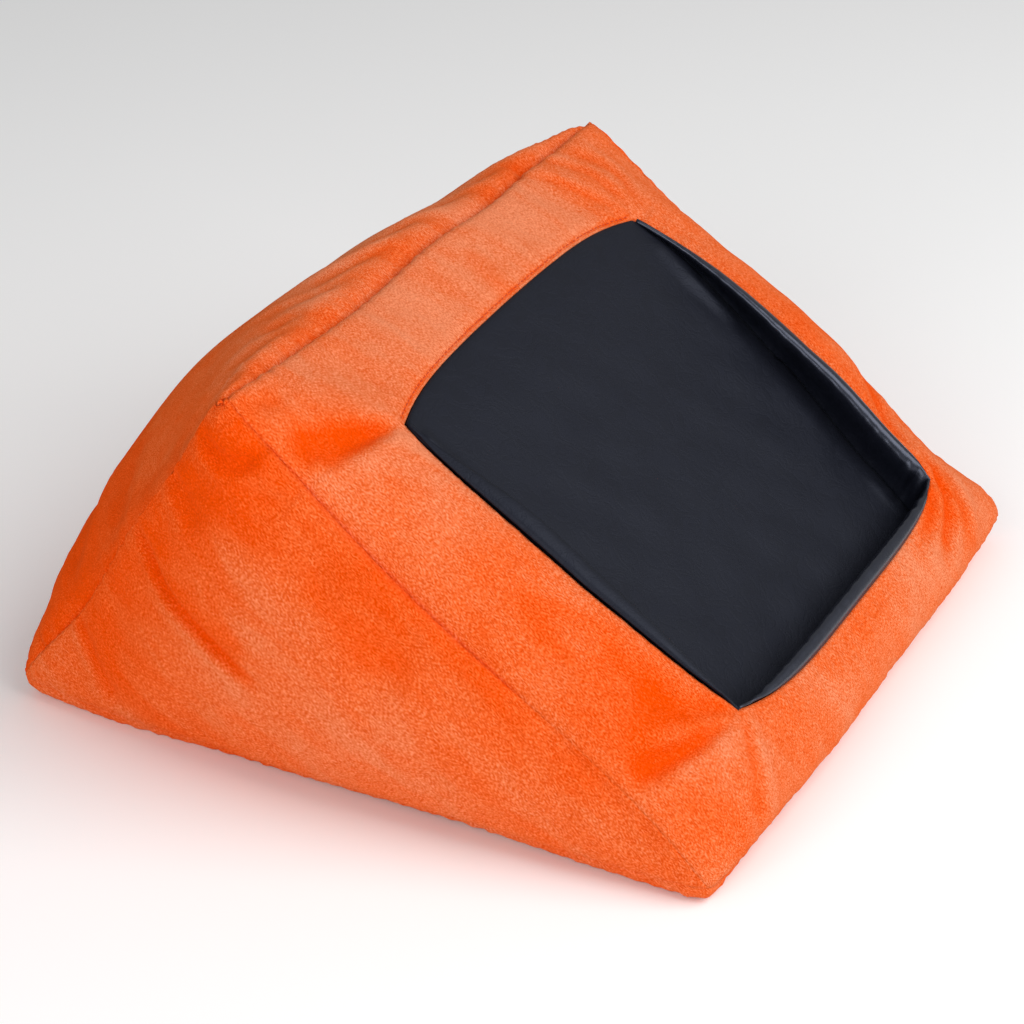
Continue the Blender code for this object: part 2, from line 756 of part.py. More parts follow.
def build_pad():
    """Foam slab that keeps the floor flat under the tablet."""
    inset = LEATHER + GAP
    low, high = rest_point(1, 0.0), rest_point(1, FLAT_FLOOR_SHARE)
    width = 2 * (high.x - inset)
    height = (high - low).dot(REST_UP) - inset
    centre = rest_point(0, 0.0) + REST_UP * (inset + height / 2)
    centre -= REST_NORMAL * (LEATHER + GAP + PAD_THICKNESS / 2)
    slab = bmesh.new()
    bmesh.ops.create_cube(slab, size=1)
    bmesh.ops.scale(slab, vec=(width, height, PAD_THICKNESS), verts=slab.verts)
    frame = Matrix((X_AXIS, REST_UP, REST_NORMAL)).transposed().to_4x4()
    pad = mesh_object("rest_pad", slab, FOAM)
    pad.matrix_world = Matrix.Translation(centre) @ frame
    edge = pad.modifiers.new("edge", "BEVEL")
    edge.width = PAD_EDGE
    edge.segments = 2
    return pad


# Inner bag and its filling


def inner_space():
    """The space inside the cover, hollowed under the rest and beside the zip."""

    def note_depths(cloth, crossings):
        turn = cloth.verts.layers.float_vector["turn"]
        for vert, (column, row) in crossings["front"].items():
            inside = INNER_LINES.past_window(column) == 0
            if not inside or not INNER_LINES.window_row <= row <= INNER_LINES.head_row:
                continue
            side, run = INNER_LINES.side(column), INNER_LINES.run(row)
            below = SEAM_ALLOWANCE + LEATHER + BAG_CLEARANCE
            if row < INNER_LINES.head_row - 1:
                below = LEATHER + PAD_THICKNESS + 2 * GAP
            place = rest_point(side, run) - REST_NORMAL * below
            if abs(side) == 1:
                place += X_AXIS * side * (LEATHER + BAG_CLEARANCE)
            if run == 0:
                place -= REST_UP * (LEATHER + BAG_CLEARANCE)
            vert[turn] = place - vert.co
        for vert, (column, row) in crossings["back"].items():
            if row in (2, 3):
                vert[turn] = -BACK_NORMAL * (CLOTH + TAPE + CHAIN_THICKNESS / 2 + SHIELD + BAG_CLEARANCE)

    cloth = envelope(INNER_LINES, note_depths)
    turn = cloth.verts.layers.float_vector["turn"]
    base = PANELS.index("base")
    moves = {}
    for vert in cloth.verts:
        panels = {face.material_index for face in vert.link_faces}
        if Vector(vert[turn]).length > 0:
            moves[vert] = Vector(vert[turn])
        elif seam_lean(vert).length > 0:
            moves[vert] = seam_lean(vert) * (SEAM_ALLOWANCE + BAG_CLEARANCE)
        elif panels == {base}:
            moves[vert] = Vector((0, 0, CLOTH + GAP))
        elif beside_seam(vert):
            moves[vert] = -vert.normal * (SEAM_ALLOWANCE + BAG_CLEARANCE)
        else:
            moves[vert] = -vert.normal * (CLOTH + BAG_CLEARANCE)
    for vert, move in moves.items():
        vert.co += move
    cloth.normal_update()
    return cloth


def beside_seam(vert):
    """Whether a corner of the skin lies hardly further from a seam than its allowance is deep."""
    for edge in vert.link_edges:
        if edge.calc_length() < 2 * SEAM_ALLOWANCE and seam_lean(edge.other_vert(vert)).length > 0:
            return True
    return False


def sink(cloth, depth, clearance):
    """Moves a closed skin inwards by an even depth and, at its seams and folds, by a clearance too."""
    turn = cloth.verts.layers.float_vector["turn"]
    moves = {}
    for vert in cloth.verts:
        factor = min(vert.calc_shell_factor(), SHELL_LIMIT)
        if len(directions(vert)) > 2:
            factor = SHELL_LIMIT * SHELL_LIMIT
        folded = Vector(vert[turn]).length > 0 or beside_seam(vert)
        moves[vert] = -vert.normal * factor * (depth + clearance if folded else depth)
    for vert, move in moves.items():
        vert.co += move
    cloth.normal_update()


def build_bag():
    """Calico bag of five sewn panels that lets the cover come off, and the beads inside it."""
    skin = inner_space()
    for face in skin.faces:
        name = PANELS[face.material_index]
        if name in ("back_lower", "slot"):
            face.material_index = PANELS.index("back_upper")
        if name == "window":
            face.material_index = PANELS.index("front")
    turn = skin.verts.layers.float_vector["turn"]
    folded = [vert for vert in skin.verts if Vector(vert[turn]).length > 0]
    for vert in skin.verts:
        vert[turn] = seam_lean(vert)
    for name in BAG_PANELS:
        cloth = skin.copy()
        keep_panel(cloth, name, BAG_SEAM_ROOM)
        title = "bag_back" if name == "back_upper" else "bag_" + name
        trim(thicken(mesh_object(title, cloth, CALICO), LINER, even=False), corners_of(skin))
    for vert in folded:
        vert[turn] = vert.normal
    sink(skin, LINER + FILL_GAP, FILL_CLEARANCE)
    mesh_object("bead_fill", skin, BEADS)


# Zip, drawn in its own frame: x along it, y down the back, z outwards from the middle of its tapes


def zip_frame():
    opening = slot_opening()
    low, high = back_point(0.0, ZIP_SHARE - opening), back_point(0.0, ZIP_SHARE + opening)
    down = (low - high).normalized()
    out = X_AXIS.cross(down)
    turned = Matrix((X_AXIS, down, out)).transposed().to_4x4()
    return Matrix.Translation((low + high) / 2 - out * (CLOTH + GAP + TAPE / 2)) @ turned


def outline_mesh(name, points, thickness, look, group="tablet_cushion_stand"):
    """A flat outline with a thickness, centred on its own plane, as a mesh object."""
    curve = bpy.data.curves.new(name, "CURVE")
    curve.dimensions = "2D"
    curve.fill_mode = "BOTH"
    curve.extrude = thickness / 2
    spline = curve.splines.new("POLY")
    spline.points.add(len(points) - 1)
    for place, (x, y) in zip(spline.points, points):
        place.co = (x, y, 0, 1)
    spline.use_cyclic_u = True
    drawn = bpy.data.objects.new(name, curve)
    bpy.context.scene.collection.objects.link(drawn)
    bpy.context.view_layer.update()
    evaluated = drawn.evaluated_get(bpy.context.evaluated_depsgraph_get())
    data = bpy.data.meshes.new_from_object(evaluated)
    bpy.data.objects.remove(drawn, do_unlink=True)
    cloth = bmesh.new()
    cloth.from_mesh(data)
    bpy.data.meshes.remove(data)
    bmesh.ops.remove_doubles(cloth, verts=cloth.verts, dist=WELD)
    made = mesh_object(name, cloth, look, smooth=False)
    if group != "tablet_cushion_stand":
        move_to(made, group)
    return made


def move_to(made, group):
    """Puts a helper shape in the hidden collection of cutters."""
    for held in list(made.users_collection):
        held.objects.unlink(made)
    collection(group).objects.link(made)
    made.hide_render = True
    made.display_type = "WIRE"


def box_mesh(name, low, high, look=METAL, group="tablet_cushion_stand"):
    """A box between two corners."""
    cloth = bmesh.new()
    bmesh.ops.create_cube(cloth, size=1)
    size, centre = Vector(high) - Vector(low), (Vector(high) + Vector(low)) / 2
    bmesh.ops.scale(cloth, vec=size, verts=cloth.verts)
    bmesh.ops.translate(cloth, vec=centre, verts=cloth.verts)
    made = mesh_object(name, cloth, look, smooth=False)
    if group != "tablet_cushion_stand":
        move_to(made, group)
    return made


def combine(body, tool, operation):
    step = body.modifiers.new(tool.name, "BOOLEAN")
    step.operation = operation
    step.solver = "EXACT"
    step.object = tool
    tool.parent = body


def build_tapes():
    """Woven tapes whose inner edges carry the teeth; they run on under the plush on both sides."""
    frame = zip_frame()
    depth = CLOTH + GAP + TAPE / 2
    inner = CHAIN_HALF_WIDTH + GAP
    for name, side, row in (("zip_tape_upper", -1, 4), ("zip_tape_lower", 1, 1)):
        edge = COVER_LINES.back(COVER_LINES.columns // 2, 3 if side < 0 else 2)
        beyond = COVER_LINES.back(COVER_LINES.columns // 2, row)
        local = [frame.inverted() @ point for point in (edge, beyond)]
        fall = Vector((local[1].y - local[0].y, local[1].z - local[0].z)).normalized()
        back = Vector((-fall.y, fall.x)) * side
        away = (Vector((0, 1)) + back).normalized()
        bend = Vector((local[0].y, local[0].z)) - away * depth / away.dot(back)
        reach = bend + fall * (TAPE_WIDTH - abs(bend.x))
        half = TAPE / 2
        points = (
            (side * inner, half),
            bend + away * half,
            reach + back * half,
            reach - back * half,
            bend - away * half,
            (side * inner, -half),
        )
        tape = outline_mesh(name, points, ZIP_LENGTH + 2 * TAPE_OVERRUN, TAPE_CLOTH)
        section = Matrix(((0, 0, 1), (1, 0, 0), (0, 1, 0))).to_4x4()
        tape.matrix_world = frame @ section


def teeth_outline(side):
    """One row: a cord with teeth that widen towards their heads, so that the rows hook together."""
    root, reach = CHAIN_HALF_WIDTH - CORD_WIDTH, -TOOTH_REACH
    shoulder = reach + TOOTH_TIP
    middle = TOOTH_PITCH / 2 - TOOTH_CLEARANCE
    neck, head = middle - TOOTH_FLARE_SHARE * root, middle - TOOTH_FLARE_SHARE * shoulder
    tip = head - TOOTH_TIP
    start, count = -ZIP_LENGTH / 2, round(ZIP_LENGTH / TOOTH_PITCH)
    points = [(start, CHAIN_HALF_WIDTH), (start, root)]
    for index in range(count):
        place = start + (index + 0.5 - side / 4) * TOOTH_PITCH
        for half, height in ((-neck, root), (-head, shoulder), (-tip, reach)):
            points.append((place + half / 2, height))
        for half, height in ((tip, reach), (head, shoulder), (neck, root)):
            points.append((place + half / 2, height))
    end = start + count * TOOTH_PITCH
    points += [(end, root), (end, CHAIN_HALF_WIDTH)]
    return [(x, y * side) for x, y in points]


def build_teeth():
    for name, side in (("zip_teeth_upper", -1), ("zip_teeth_lower", 1)):
        row = outline_mesh(name, teeth_outline(side), CHAIN_THICKNESS, TEETH)
        row.matrix_world = zip_frame()


def build_stops():
    """Top stops that end the slider's way when shut, and the box that holds the other end."""
    front = -ZIP_LENGTH / 2 - (SLIDER_LENGTH - SLIDER_HOLD) - GAP
    half, inner = STOP_THICKNESS / 2, CHAIN_HALF_WIDTH - STOP_WIDTH
    for name, side in (("zip_stop_upper", -1), ("zip_stop_lower", 1)):
        edges = sorted((side * inner, side * CHAIN_HALF_WIDTH))
        stop = box_mesh(name, (front - STOP_LENGTH, edges[0], -half), (front, edges[1], half))
        stop.matrix_world = zip_frame()
    start = ZIP_LENGTH / 2 + GAP
    width = CHAIN_HALF_WIDTH
    box = box_mesh("zip_stop_bottom", (start, -width, -half), (start + BOX_LENGTH, width, half))
    box.matrix_world = zip_frame()


def slider_outline():
    """The slider's plan: wide at its front, where the rows part, and narrow at its tail."""
    front, tail = SLIDER_WIDTH / 2, SLIDER_TAIL_WIDTH / 2
    corner = SLIDER_CORNER
    half = [
        (0.0, front - corner),
        (corner, front),
        (SLIDER_LENGTH / 2, front),
        (SLIDER_LENGTH - corner, tail),
        (SLIDER_LENGTH, tail - corner),
    ]
    return half + [(x, -y) for x, y in reversed(half)]


def build_slider():
    """Two shields joined by a neck, with flanges that hold the tapes' edges and a bail on top.

    Its origin is in the middle of its front edge.
    """
    inside = CHAIN_THICKNESS / 2 + RUNNING_GAP
    top = inside + SHIELD
    body = outline_mesh("zip_slider", slider_outline(), 2 * top, METAL)
    over, wide = CUTTER_OVERRUN, SLIDER_WIDTH
    channel_half = CHAIN_HALF_WIDTH + RUNNING_GAP
    slot_half = TAPE / 2 + FLANGE_EDGE
    ahead, behind = -over, SLIDER_LENGTH + over
    cuts = (
        ("chain_channel", (ahead, -channel_half, -inside), (behind, channel_half, inside)),
        ("tape_slot", (ahead, -wide, -slot_half), (behind, wide, slot_half)),
    )
    for name, low, high in cuts:
        combine(body, box_mesh(name, low, high, METAL, "cutters"), "DIFFERENCE")
    neck_front, neck_back = NECK_SETBACK, NECK_SETBACK + NECK_LENGTH
    neck_middle = (neck_front + neck_back) / 2
    neck = (
        (neck_front, 0.0),
        (neck_middle, NECK_WIDTH / 2),
        (neck_back, 0.0),
        (neck_middle, -NECK_WIDTH / 2),
    )
    joined = outline_mesh("neck", neck, 2 * top - SHIELD, METAL, "cutters")
    combine(body, joined, "UNION")
    combine(body, build_bail(top), "UNION")
    front = -ZIP_LENGTH / 2 - (SLIDER_LENGTH - SLIDER_HOLD)
    body.matrix_world = zip_frame() @ Matrix.Translation((front, 0, 0))
    return body


def build_bail(top):
    """Arch over the slider's top shield that the pull swings on."""
    inner = (BAIL_LENGTH / 2, BAIL_HEIGHT)
    outer = (inner[0] + BAIL_BAR, inner[1] + BAIL_BAR)
    sunk = top - SHIELD / 2
    angles = [math.pi * step / ARC_STEPS for step in range(ARC_STEPS + 1)]
    points = [(outer[0], sunk)]
    points += [(outer[0] * math.cos(angle), top + outer[1] * math.sin(angle)) for angle in angles]
    points += [(-outer[0], sunk), (-inner[0], sunk)]
    points += [(-inner[0] * math.cos(angle), top + inner[1] * math.sin(angle)) for angle in angles]
    points.append((inner[0], sunk))
    bail = outline_mesh("bail", points, BAIL_WIDTH, METAL, "cutters")
    bail.matrix_world = Matrix.Translation((BAIL_SETBACK, 0, 0)) @ Matrix.Rotation(math.pi / 2, 4, "X")
    return bail


def pull_height():
    """Height of the pull's axis: its bar turns freely between the shield and the bail."""
    top = CHAIN_THICKNESS / 2 + RUNNING_GAP + SHIELD
    return top + RUNNING_GAP + math.hypot(PULL_BAR, PULL_THICKNESS) / 2


def build_pull(slider):
    """Tab with an eye round the bail. Its origin is on the axis of its bar."""
    front, tip = -PULL_BAR / 2, PULL_LENGTH
    corner = PULL_CORNER
    half = [
        (front, PULL_WIDTH / 2 - corner),
        (front + corner, PULL_WIDTH / 2),
        (tip - 2 * corner, PULL_TIP_WIDTH / 2),
        (tip, PULL_TIP_WIDTH / 2 - 2 * corner),
    ]
    plan = half + [(x, -y) for x, y in reversed(half)]
    pull = outline_mesh("zip_pull", plan, PULL_THICKNESS, METAL)
    eye_start = PULL_BAR / 2
    thick = PULL_THICKNESS
    low = (eye_start, -PULL_EYE_WIDTH / 2, -thick)
    high = (eye_start + PULL_EYE_LENGTH, PULL_EYE_WIDTH / 2, thick)
    combine(pull, box_mesh("pull_eye", low, high, METAL, "cutters"), "DIFFERENCE")
    hole = bmesh.new()
    radius = PULL_HOLE_RADIUS
    bmesh.ops.create_cone(
        hole, cap_ends=True, segments=HOLE_SEGMENTS, radius1=radius, radius2=radius, depth=2 * thick
    )
    bmesh.ops.translate(hole, vec=(tip - 2 * PULL_HOLE_RADIUS, 0, 0), verts=hole.verts)
    cutter = mesh_object("pull_hole", hole, METAL, smooth=False)
    move_to(cutter, "cutters")
    combine(pull, cutter, "DIFFERENCE")
    pull.parent = slider
    pull.location = (BAIL_SETBACK, 0, pull_height())
    return pull


BAG_PANELS = ("front", "back_upper", "base", "end_left", "end_right")
INNER_LINES = Lines(
    INNER_SIDE_SHARES,
    INNER_WINDOW_COLUMNS,
    INNER_NOSE_SHARES,
    INNER_WINDOW_SHARES,
    INNER_HEAD_SHARES,
    INNER_BACK_SHARES,
    INNER_END_SHARES,
    slotted=False,
)
COVER_LINES = Lines(
    COVER_SIDE_SHARES,
    COVER_WINDOW_COLUMNS,
    COVER_NOSE_SHARES,
    COVER_WINDOW_SHARES,
    COVER_HEAD_SHARES,
    COVER_BACK_SHARES,
    COVER_END_SHARES,
    slotted=True,
)


def main():
    clear_scene()
    build_cover()
    build_floor()
    build_walls()
    build_pad()
    build_bag()
    build_tapes()
    build_teeth()
    build_stops()
    build_pull(build_slider())


main()
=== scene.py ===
"""Dresses the tablet cushion stand: plush cover, leatherette rest, zip, and the bag of beads inside."""

import math
from contextlib import contextmanager

import bmesh
import bpy
import numpy as np
from bpy.props import FloatProperty, FloatVectorProperty, IntProperty, PointerProperty
from mathutils import Matrix, Vector
from mathutils.bvhtree import BVHTree
from mathutils.geometry import barycentric_transform
from mathutils.kdtree import KDTree


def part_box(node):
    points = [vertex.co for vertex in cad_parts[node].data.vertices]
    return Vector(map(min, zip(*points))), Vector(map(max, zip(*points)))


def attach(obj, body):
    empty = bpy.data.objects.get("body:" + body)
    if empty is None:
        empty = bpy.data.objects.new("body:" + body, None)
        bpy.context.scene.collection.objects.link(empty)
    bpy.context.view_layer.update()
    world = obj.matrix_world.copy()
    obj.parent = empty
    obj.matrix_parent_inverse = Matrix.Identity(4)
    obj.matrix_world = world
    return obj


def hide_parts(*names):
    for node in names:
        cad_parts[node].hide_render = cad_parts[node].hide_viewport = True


bl_info = {
    "name": "Tablet Cushion Stand",
    "version": (1, 0, 0),
    "blender": (4, 5, 0),
    "location": "View3D > Sidebar > Cushion",
    "description": "Sews, fills and dresses a plush cushion with a sunken rest",
    "category": "Object",
}

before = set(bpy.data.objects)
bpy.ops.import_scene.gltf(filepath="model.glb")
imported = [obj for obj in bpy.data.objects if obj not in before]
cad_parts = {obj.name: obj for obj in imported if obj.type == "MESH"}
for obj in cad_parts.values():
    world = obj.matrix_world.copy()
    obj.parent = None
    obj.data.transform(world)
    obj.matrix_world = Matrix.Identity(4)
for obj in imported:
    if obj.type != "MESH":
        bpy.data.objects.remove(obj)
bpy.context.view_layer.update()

# Swell of the filled panels above their flat outlines. A pair shapes a hump: its rise and its fade.
FRONT_CROWN = 0.032
BACK_CROWN = 0.035
END_CROWN = 0.024
END_SEAM_BOW = 0.003
FRONT_SEAM_WAVE = 0.005
BACK_SEAM_DRAW = 0.006
RIDGE_DIP = 0.004
RIDGE_BLUNT = 0.008
NOSE_SWELL = (0.27, 0.8)
BACK_SWELL = (0.75, 0.55)
END_SWELL = (0.6, 1.1)
DIP_SWELL = (1.0, 2.0)
SEAM_WAVE_SHARE = 0.75
LOCAL_SHARE = 4.0
BASE_ROUNDING = 0.010
FRONT_POWERS = (1.6, 3.2)
BACK_FLAT_SHARE = 0.25
BACK_FLAT_OVERRUN = 0.018
SADDLE_SHARE = 0.5

# Window and rest
REST_SIDE_CLEARANCE = 0.004
REST_FOOT_CLEARANCE = 0.0018
REST_FROM_FRONT = 0.0927
REST_ABOVE_SEAM = 0.0845
WINDOW_SIDE_BOW = 0.008
WINDOW_FOOT_SHARE = 0.153
WINDOW_FOOT_BOW_SHARE = 0.034
WINDOW_HEAD_SHARE = 0.798
WINDOW_HEAD_BOW_SHARE = 0.035
WINDOW_HEAD_SKEW = 0.009
WINDOW_SPREAD_RUN = (0.0, 0.15, 0.45, 0.75, 1.0)
WINDOW_SPREAD_LEFT = (0.0, 0.003, 0.0080, 0.0075, 0.008)
WINDOW_SPREAD_RIGHT = (0.007, 0.003, -0.0015, 0.003, 0.004)
CORNER_SHARE = 4.0
FOOT_WALL_BULGE = 0.006
SIDE_WALL_BULGE = 0.006
WALL_SWELL = (3.0, 1.0)
WALL_ROLL = 0.8
LEATHER_GLEAM = (0.72, 0.78, 1.0)
WALL_FADE_SHARE = 0.4
WALL_CREST = 0.0024
WALL_CREST_STEP = 0.60
WALL_CREST_WIDTH = 0.16
FLAT_FLOOR_SHARE = 0.8
WALL_TUCK = 0.006

# Cloth
PLUSH_THICKNESS = 0.0016
LEATHER_THICKNESS = 0.0012
GAP = 0.0003
SEAM_TURN = 0.004
GROOVE_WIDTH = 0.005
RIM_GROOVE_SHARE = 0.6
CORNER_REACH = 0.016
CORNER_DRAW = 0.0045
SHOULDER = 0.0005
SHOULDER_REACH = 0.009
PUCKER_LENGTH = 0.009
PUCKER_REACH = 0.011
PUCKER_START = PUCKER_REACH / 6
PUCKER_SEED = 3
FOLD_TAPER_SHARE = 0.3
FOLD_START = 0.3
FOLD_END = 0.1
FOLD_CLEARANCE = 0.006

# Skin that is draped as cloth
SKIN_GRID = 0.006
SKIN_CELL = 0.005
SKIN_WELD = 0.0001
PIN_FULL = 1.5
PIN_REACH = 0.006
CLOTH = {
    "quality": 4, "mass": 0.3, "tension_stiffness": 12, "compression_stiffness": 12, "bending_stiffness": 6,
    "use_pressure": True, "uniform_pressure_force": 4, "shrink_min": -0.02,
}
FINE_ROUNDS = 3
BROAD_ROUNDS = 60
DRAPE_SHARE = 0.6

# Soft pushes that all pieces share, in millimetres: middle, reach and move
PUSHES = (
    ((150, -130, 80), 30, (0, 3, -6)),
    ((176, -178, 20), 30, (6, -4, 10)),
    ((-185, 60, 170), 22, (-3, 0, 1)),
    ((-190, 120, 120), 45, (-4, 2, 3)),
    ((-183, 178, 30), 35, (-3, 3, 4)),
    ((100, 75, 185), 50, (0, 3, 4)),
    ((-60, 80, 188), 50, (0, -1, -4)),
    ((72, 98, 178), 45, (-1, -5.2, -5.8)),
    ((175, -175, 18), 58, (-4.2, 3.8, -3.7)),
    ((-82, 135, 141), 45, (0, 3.3, 2.6)),
    ((-158, 170, 66), 22, (0.9, -3.4, -1.4)),
    ((161, -76, 107), 60, (1.6, -1.1, 1.6)),
    ((-181, 126, 2), 45, (-1.3, 0.1, -2)),
    ((-182, -51, 2), 60, (0.9, -0.1, 1.4)),
    ((-58, -178, 8), 60, (0.2, -1.3, -0.8)),
    ((167, 68, 183), 22, (0.5, 0.9, 1.5)),
)

# Folds by panel, in millimetres: course over its flat side, depth, width at both ends, and height of the
# crest beside it. Ends are measured by distance back and up, the others by x and distance up their slope.
# Each fold's depth and crest also set its painted shade and painted highlight in the plush colour
FOLDS = {
    "end_left": (
        (((105, 114), (96, 105), (85, 92), (72, 83), (58, 75), (44, 67), (27, 60)), 3.8, (2.4, 3.6), 1.3),
        (((88, 143), (80, 139), (72, 131), (66, 124)), 1.6, (4, 6), 0.8),
        (((143, 56), (133, 42), (125, 30), (117, 14)), 2, (3, 5), 1),
        (((71, 170), (63, 163), (55, 160), (46, 162), (36, 168)), 3.6, (4.2, 4.8), 0.8),
        (((15, 122), (-10, 100), (-40, 78)), 1, (10, 12), 0),
    ),
    "front": (
        (((-127, 241), (-145, 247), (-162, 255), (-178, 264)), 4.2, (4, 11), 0.6),
        (((-136, 243), (-158, 245), (-172, 248)), 1.6, (4, 6), 0.4),
        (((-178, 292), (-166, 286), (-156, 284)), 1.4, (6, 6), 0),
        (((-120, 48), (-135, 59), (-148, 70), (-160, 84)), 3, (4, 10), 0.4),
        (((-128, 46), (-150, 50), (-166, 56), (-179, 62)), 3.6, (3, 7), 1.2),
        (((-119, 43), (-130, 28), (-140, 14), (-145, 3)), 1.6, (3, 5), 1.2),
        (((-150, 112), (-148, 86), (-140, 66)), 1.4, (10, 8), 0),
        (((129, 61), (113, 41), (92, 32), (60, 25)), 2, (4, 6), 1.2),
        (((143, 56), (124, 33), (105, 22), (81, 16)), 2.4, (4, 6), 1.4),
        (((150, 46), (134, 28), (120, 12)), 1.6, (5, 7), 1.2),
        (((165, 110), (146, 86), (134, 64)), 2, (8, 5), 0.8),
        (((95, 300), (108, 280), (120, 250)), 1, (4, 3), 0.8),
        (((118, 298), (130, 276), (126, 248)), 1, (4, 3), 0.8),
        (((140, 292), (146, 268), (132, 244)), 1.2, (5, 3), 0.8),
        (((60, 40), (20, 30), (-30, 28), (-80, 34)), 1, (9, 9), 0),
    ),
    "end_right": (
        (((100, 108), (88, 96), (74, 84), (46, 70)), 2.4, (4, 7), 1.2),
        (((80, 164), (66, 157), (50, 158), (40, 163)), 3, (6, 6), 1),
        (((142, 50), (130, 34), (122, 10)), 2, (5, 7), 1),
        (((-150, 40), (-128, 34), (-110, 16)), 2, (5, 7), 1),
    ),
    "back_upper": (
        (((-172, 60), (-150, 74), (-120, 82)), 1.8, (5, 9), 1),
        (((-176, 100), (-156, 112), (-128, 118)), 1.4, (6, 10), 0.8),
        (((170, 64), (146, 80), (112, 86)), 1.8, (5, 9), 1),
        (((172, 150), (150, 142), (128, 128)), 1.4, (6, 10), 0.8),
    ),
}

# Fine creases down from the ridge, spread along a run of it.
# Each draws its shift, reach, fall and depth between two numbers.
RIDGE_FOLDS = 13
RIDGE_FOLD_RUN = (-0.120, 0.150)
RIDGE_MIDDLE_REACH = 0.5
RIDGE_MIDDLE_FALL = 0.3
RIDGE_START = 0.003
RIDGE_SHIFTS = (-0.006, 0.006)
RIDGE_REACHES = (0.045, 0.085)
RIDGE_FALLS = (0.020, 0.055)
RIDGE_DEPTHS = (0.0006, 0.0013)
RIDGE_WIDTHS = (0.003, 0.006)
RIDGE_SEED = 11

# Crest and lee of a fold: where they lie and how far they reach, in widths of the fold
CREST_PLACE = 1.5
CREST_FADE = 3
LEE_PLACE = 2.5
LEE_FADE = 6
# Painted light of a fold: a painted highlight on its crest, and painted shade in its valley and in its lee,
# which is full from this depth on
LEE_FULL_DEPTH = 0.003
CREST_HIGHLIGHT = 260.0
VALLEY_SHADE = 400.0
LEE_SHADE = 0.45

# Patches of painted sheen and painted shade on the plush: middle and reach in millimetres, and how much
# paler (above 0) or darker (below 0) they are painted
SHEEN_SHADE_PATCHES = (
    ((-190, 85, 140), 45, -0.5),
    ((-190, 110, 70), 30, -0.4),
    ((-190, 50, 150), 30, -0.4),
    ((-200, -20, 40), 50, 0.15),
    ((-158, -157, 24), 22, -0.7),
    ((-164, -75, 86), 32, -0.5),
    ((-152, -112, 58), 28, -0.35),
    ((-180, -119, 52), 25, -0.35),
    ((-142, 36, 172), 30, 0.55),
    ((-140, -11, 140), 35, 0.4),
    ((-50, 47, 180), 60, 0.5),
    ((70, 47, 180), 60, 0.5),
    ((-20, -156, 30), 40, 0.1),
    ((70, -150, 35), 50, 0.75),
    ((-130, 165, 100), 80, -1.0),
    ((0, 100, 170), 80, 0.45),
)

# Leatherette's ripples, gathers and rolls. A roll is given in millimetres: course over the floor by x and
# the distance up from its middle, height, and width.
FLOOR_RIPPLE = 0.0003
FLOOR_RIPPLE_LENGTH = 0.05
FLOOR_SEED = 21
FLOOR_SIDE_FADE = 0.1
FLOOR_HEAD_FADE = 0.15
FLOOR_EDGE_SHARE = 0.6
ROLL_TAPER_SHARE = 0.25
WALL_ROWS = 16
WALL_RIPPLE = 0.0003
WALL_GATHER = 0.0012
WALL_GATHER_REACH = 0.014
WALL_GATHER_LENGTH = 0.011
WALL_SEEDS = {"left": 30, "right": 31, "foot": 35}
FLOOR_ROLLS = (
    (((-122, 101), (-120.5, 82), (-119, 60), (-121, 34)), 3.6, 3),
    (((116, 98), (115, 80), (117, 60), (119, 40)), 2.6, 4),
    (((118, -84), (114, -70), (117, -50)), 1.2, 3.5),
)

# Zip slot across the back
ZIP_SHARE = 0.125
SLOT_WIDTH = 0.0104
SLOT_OVERRUN = 0.012
SLOT_TAPER = 0.004
CALM_NEAR = 0.0135
CALM_FAR = 0.026
TAPE_CLOSE = 0.001

# Filling, stitches and welding
CALICO_CRUMPLE = 0.0008
CALICO_CRUMPLE_LENGTH = 0.05
BEAD_CRUMPLE = 0.0006
BEAD_CRUMPLE_LENGTH = 0.02
CRUMPLE_SEED = 41
HEAD_STITCH_INSET = 0.0024
HEAD_ROWS = (0.0010, 0.0017, 0.0024, 0.0031, 0.0040)
TOPSTITCH_REACH = 0.98
STITCH_SEARCH = 0.012
STITCH_DIP = 0.0009
STITCH_DIP_WIDTH = 0.0010
# Painted shade along the topstitching's dip
STITCH_SHADE = -0.9
ZIP_STITCH_INSET = 0.003
WELD = 0.00001
SHARP_ANGLE = math.radians(40)

# Pile of the plush, which lies down the front's slope
PILE_SLANT = math.radians(37)
PILE_STRETCH = 3.2
PILE_TONE = 0.42
# Painted sheen and painted shade by panel: the front painted paler and both back panels darker
PANEL_SHEEN_SHADE = {"front": 0.35, "back_upper": -0.7, "back_lower": -0.7}
# The back's painted shade turns to painted sheen towards its ridge
BACK_SHEEN_RISE = 1.0

# Stage: lamps by name, place, size and power
IMAGE_SIZE = 1024
SENSOR_WIDTH = 36
FLOOR_REACH = 6
FLOOR_WHITE = (0.98, 0.98, 0.98, 1)
WORLD_LIGHT = 0.34
LAMPS = (("front", (0.15, -1.35, 1.35), 1.7, 31), ("left", (-1.9, -0.1, 0.85), 1.4, 19.5))
LIT_PLACE = (0, 0, 0.08)

X_AXIS = np.array((1.0, 0.0, 0.0))
Z_AXIS = np.array((0.0, 0.0, 1.0))
TINY = 1e-12
LINE_POINTS = 200
SEAM_POINTS_PER_METRE = 1000
RIPPLE_WAVES = 9
RIPPLE_PACES = (0.6, 1.7)


def metric(name, description, default):
    return FloatProperty(name=name, description=description, default=default, unit="LENGTH")


def angle(name, description, degrees):
    return FloatProperty(name=name, description=description, default=math.radians(degrees), unit="ROTATION")


def colour(name, description, default):
    return FloatVectorProperty(
        name=name, description=description, default=default, size=3, min=0, max=1, subtype="COLOR"
    )


